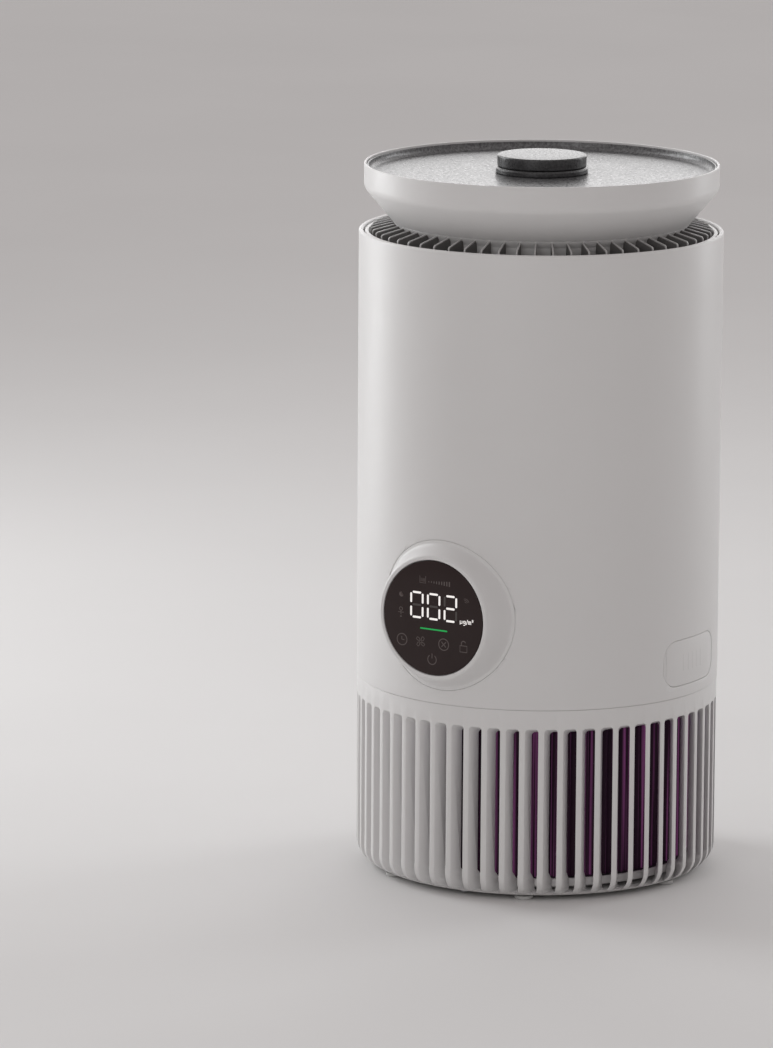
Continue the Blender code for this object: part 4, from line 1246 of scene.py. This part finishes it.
def build_object():
    for part in frame["record"]["subparts"]:
        node = frame["nodes"][part["node"]]
        node.data.materials.clear()
        node.data.materials.append(PAINTS[part["material_slot"]].material)
    build_base()
    build_filter()
    build_shell()
    build_bezel()
    build_glass()
    build_signs()
    for build in (build_button, build_spring):
        for side, word in SIDES:
            build(side, word)
    build_lower_housing()
    build_duct_flare()
    build_inlet()
    build_grille()
    build_dish()
    build_knob()


# ---------- camera, floor and light


# The camera that lines up with the photograph: distances in body radii, angles in degrees, lens in mm.
CAMERA_AWAY = 35.469
CAMERA_UP = 8.787
CAMERA_TURN = 31.3
CAMERA_PAN = 1.3557
CAMERA_TILT = 10.979
CAMERA_ROLL = 0.32
CAMERA_LENS = 224.4


def make_camera():
    """The photograph's viewing angle: from the front right, a little above the dish, with a long lens."""
    away = CAMERA_AWAY * BODY_R * MM
    height = CAMERA_UP * BODY_R * MM
    turn = radians(CAMERA_TURN)
    camera = bpy.data.objects.new("camera", bpy.data.cameras.new("camera"))
    bpy.context.scene.collection.objects.link(camera)
    camera.location = (away * sin(turn), AXIS_Y * MM - away * cos(turn), height)
    pan = Matrix.Rotation(turn + radians(CAMERA_PAN), 3, "Z")
    tilt = Matrix.Rotation(radians(90 - CAMERA_TILT), 3, "X")
    roll = Matrix.Rotation(radians(CAMERA_ROLL), 3, "Z")
    camera.rotation_euler = (pan @ tilt @ roll).to_euler()
    camera.data.sensor_width = 36
    camera.data.lens = CAMERA_LENS
    camera.data.clip_end = 60
    bpy.context.scene.camera = camera


def add_light(name, turn, tilt, distance, size, power, colour=(1.0, 1.0, 1.0)):
    """A soft panel at a turn round the object and a tilt above it, in degrees, aimed at the object."""
    turn, tilt = radians(turn), radians(tilt)
    data = bpy.data.lights.new(name, "AREA")
    data.shape = "RECTANGLE"
    data.size, data.size_y = size
    data.energy = power
    data.color = colour
    light = bpy.data.objects.new(name, data)
    bpy.context.scene.collection.objects.link(light)
    target = Vector((0, AXIS_Y * MM, 0.25))
    way = Vector((sin(turn) * cos(tilt), -cos(turn) * cos(tilt), sin(tilt)))
    light.location = target + way * distance
    light.rotation_euler = way.to_track_quat("Z", "Y").to_euler()


def make_world():
    """An even studio with a soft glow low down on the side that the photograph's camera looks towards."""
    world = bpy.data.worlds.new("studio")
    bpy.context.scene.world = world
    world.use_nodes = True
    tree = world.node_tree
    back = tree.nodes["Background"]
    back.inputs["Strength"].default_value = 0.475
    coordinates = tree.nodes.new("ShaderNodeTexCoord")
    towards = tree.nodes.new("ShaderNodeVectorMath")
    towards.operation = "DOT_PRODUCT"
    tilt = radians(12)
    away = radians(CAMERA_TURN) + pi
    towards.inputs[1].default_value = (sin(away) * cos(tilt), -cos(away) * cos(tilt), sin(tilt))
    ramp = tree.nodes.new("ShaderNodeValToRGB")
    ramp.color_ramp.interpolation = "EASE"
    plain, glow = ramp.color_ramp.elements
    plain.position = 0.72
    plain.color = (1.0, 0.945, 0.938, 1.0)
    glow.position = 0.985
    glow.color = (4.6, 4.55, 4.55, 1.0)
    tree.links.new(coordinates.outputs["Generated"], towards.inputs[0])
    tree.links.new(towards.outputs["Value"], ramp.inputs["Fac"])
    tree.links.new(ramp.outputs["Color"], back.inputs["Color"])


def make_stage():
    floor = bpy.data.meshes.new("floor")
    reach = 30.0
    corners = [(-reach, -reach, 0), (reach, -reach, 0), (reach, reach, 0), (-reach, reach, 0)]
    floor.from_pydata(corners, [], [(0, 1, 2, 3)])
    plane = bpy.data.objects.new("floor", floor)
    bpy.context.scene.collection.objects.link(plane)
    paper = Paint("floor_paper", (0.74, 0.735, 0.73), 0.9, specular=0.0).mottle(3, 0.01)
    floor.materials.append(paper.material)

    make_world()
    cool = (0.97, 0.99, 1.0)
    add_light("left_panel", CAMERA_TURN - 119, 16, 1.5, (0.6, 1.4), 12.5, cool)
    add_light("right_panel", CAMERA_TURN + 123, 16, 1.6, (0.5, 1.3), 5.5, cool)
    add_light("front_panel", CAMERA_TURN - 25, 20, 2.5, (1.0, 1.6), 5)
    scene = bpy.context.scene
    scene.view_settings.view_transform = "Standard"
    scene.view_settings.look = "None"
    scene.view_settings.exposure = 0.0
    scene.view_settings.gamma = 1.0


build_object()
make_camera()
make_stage()
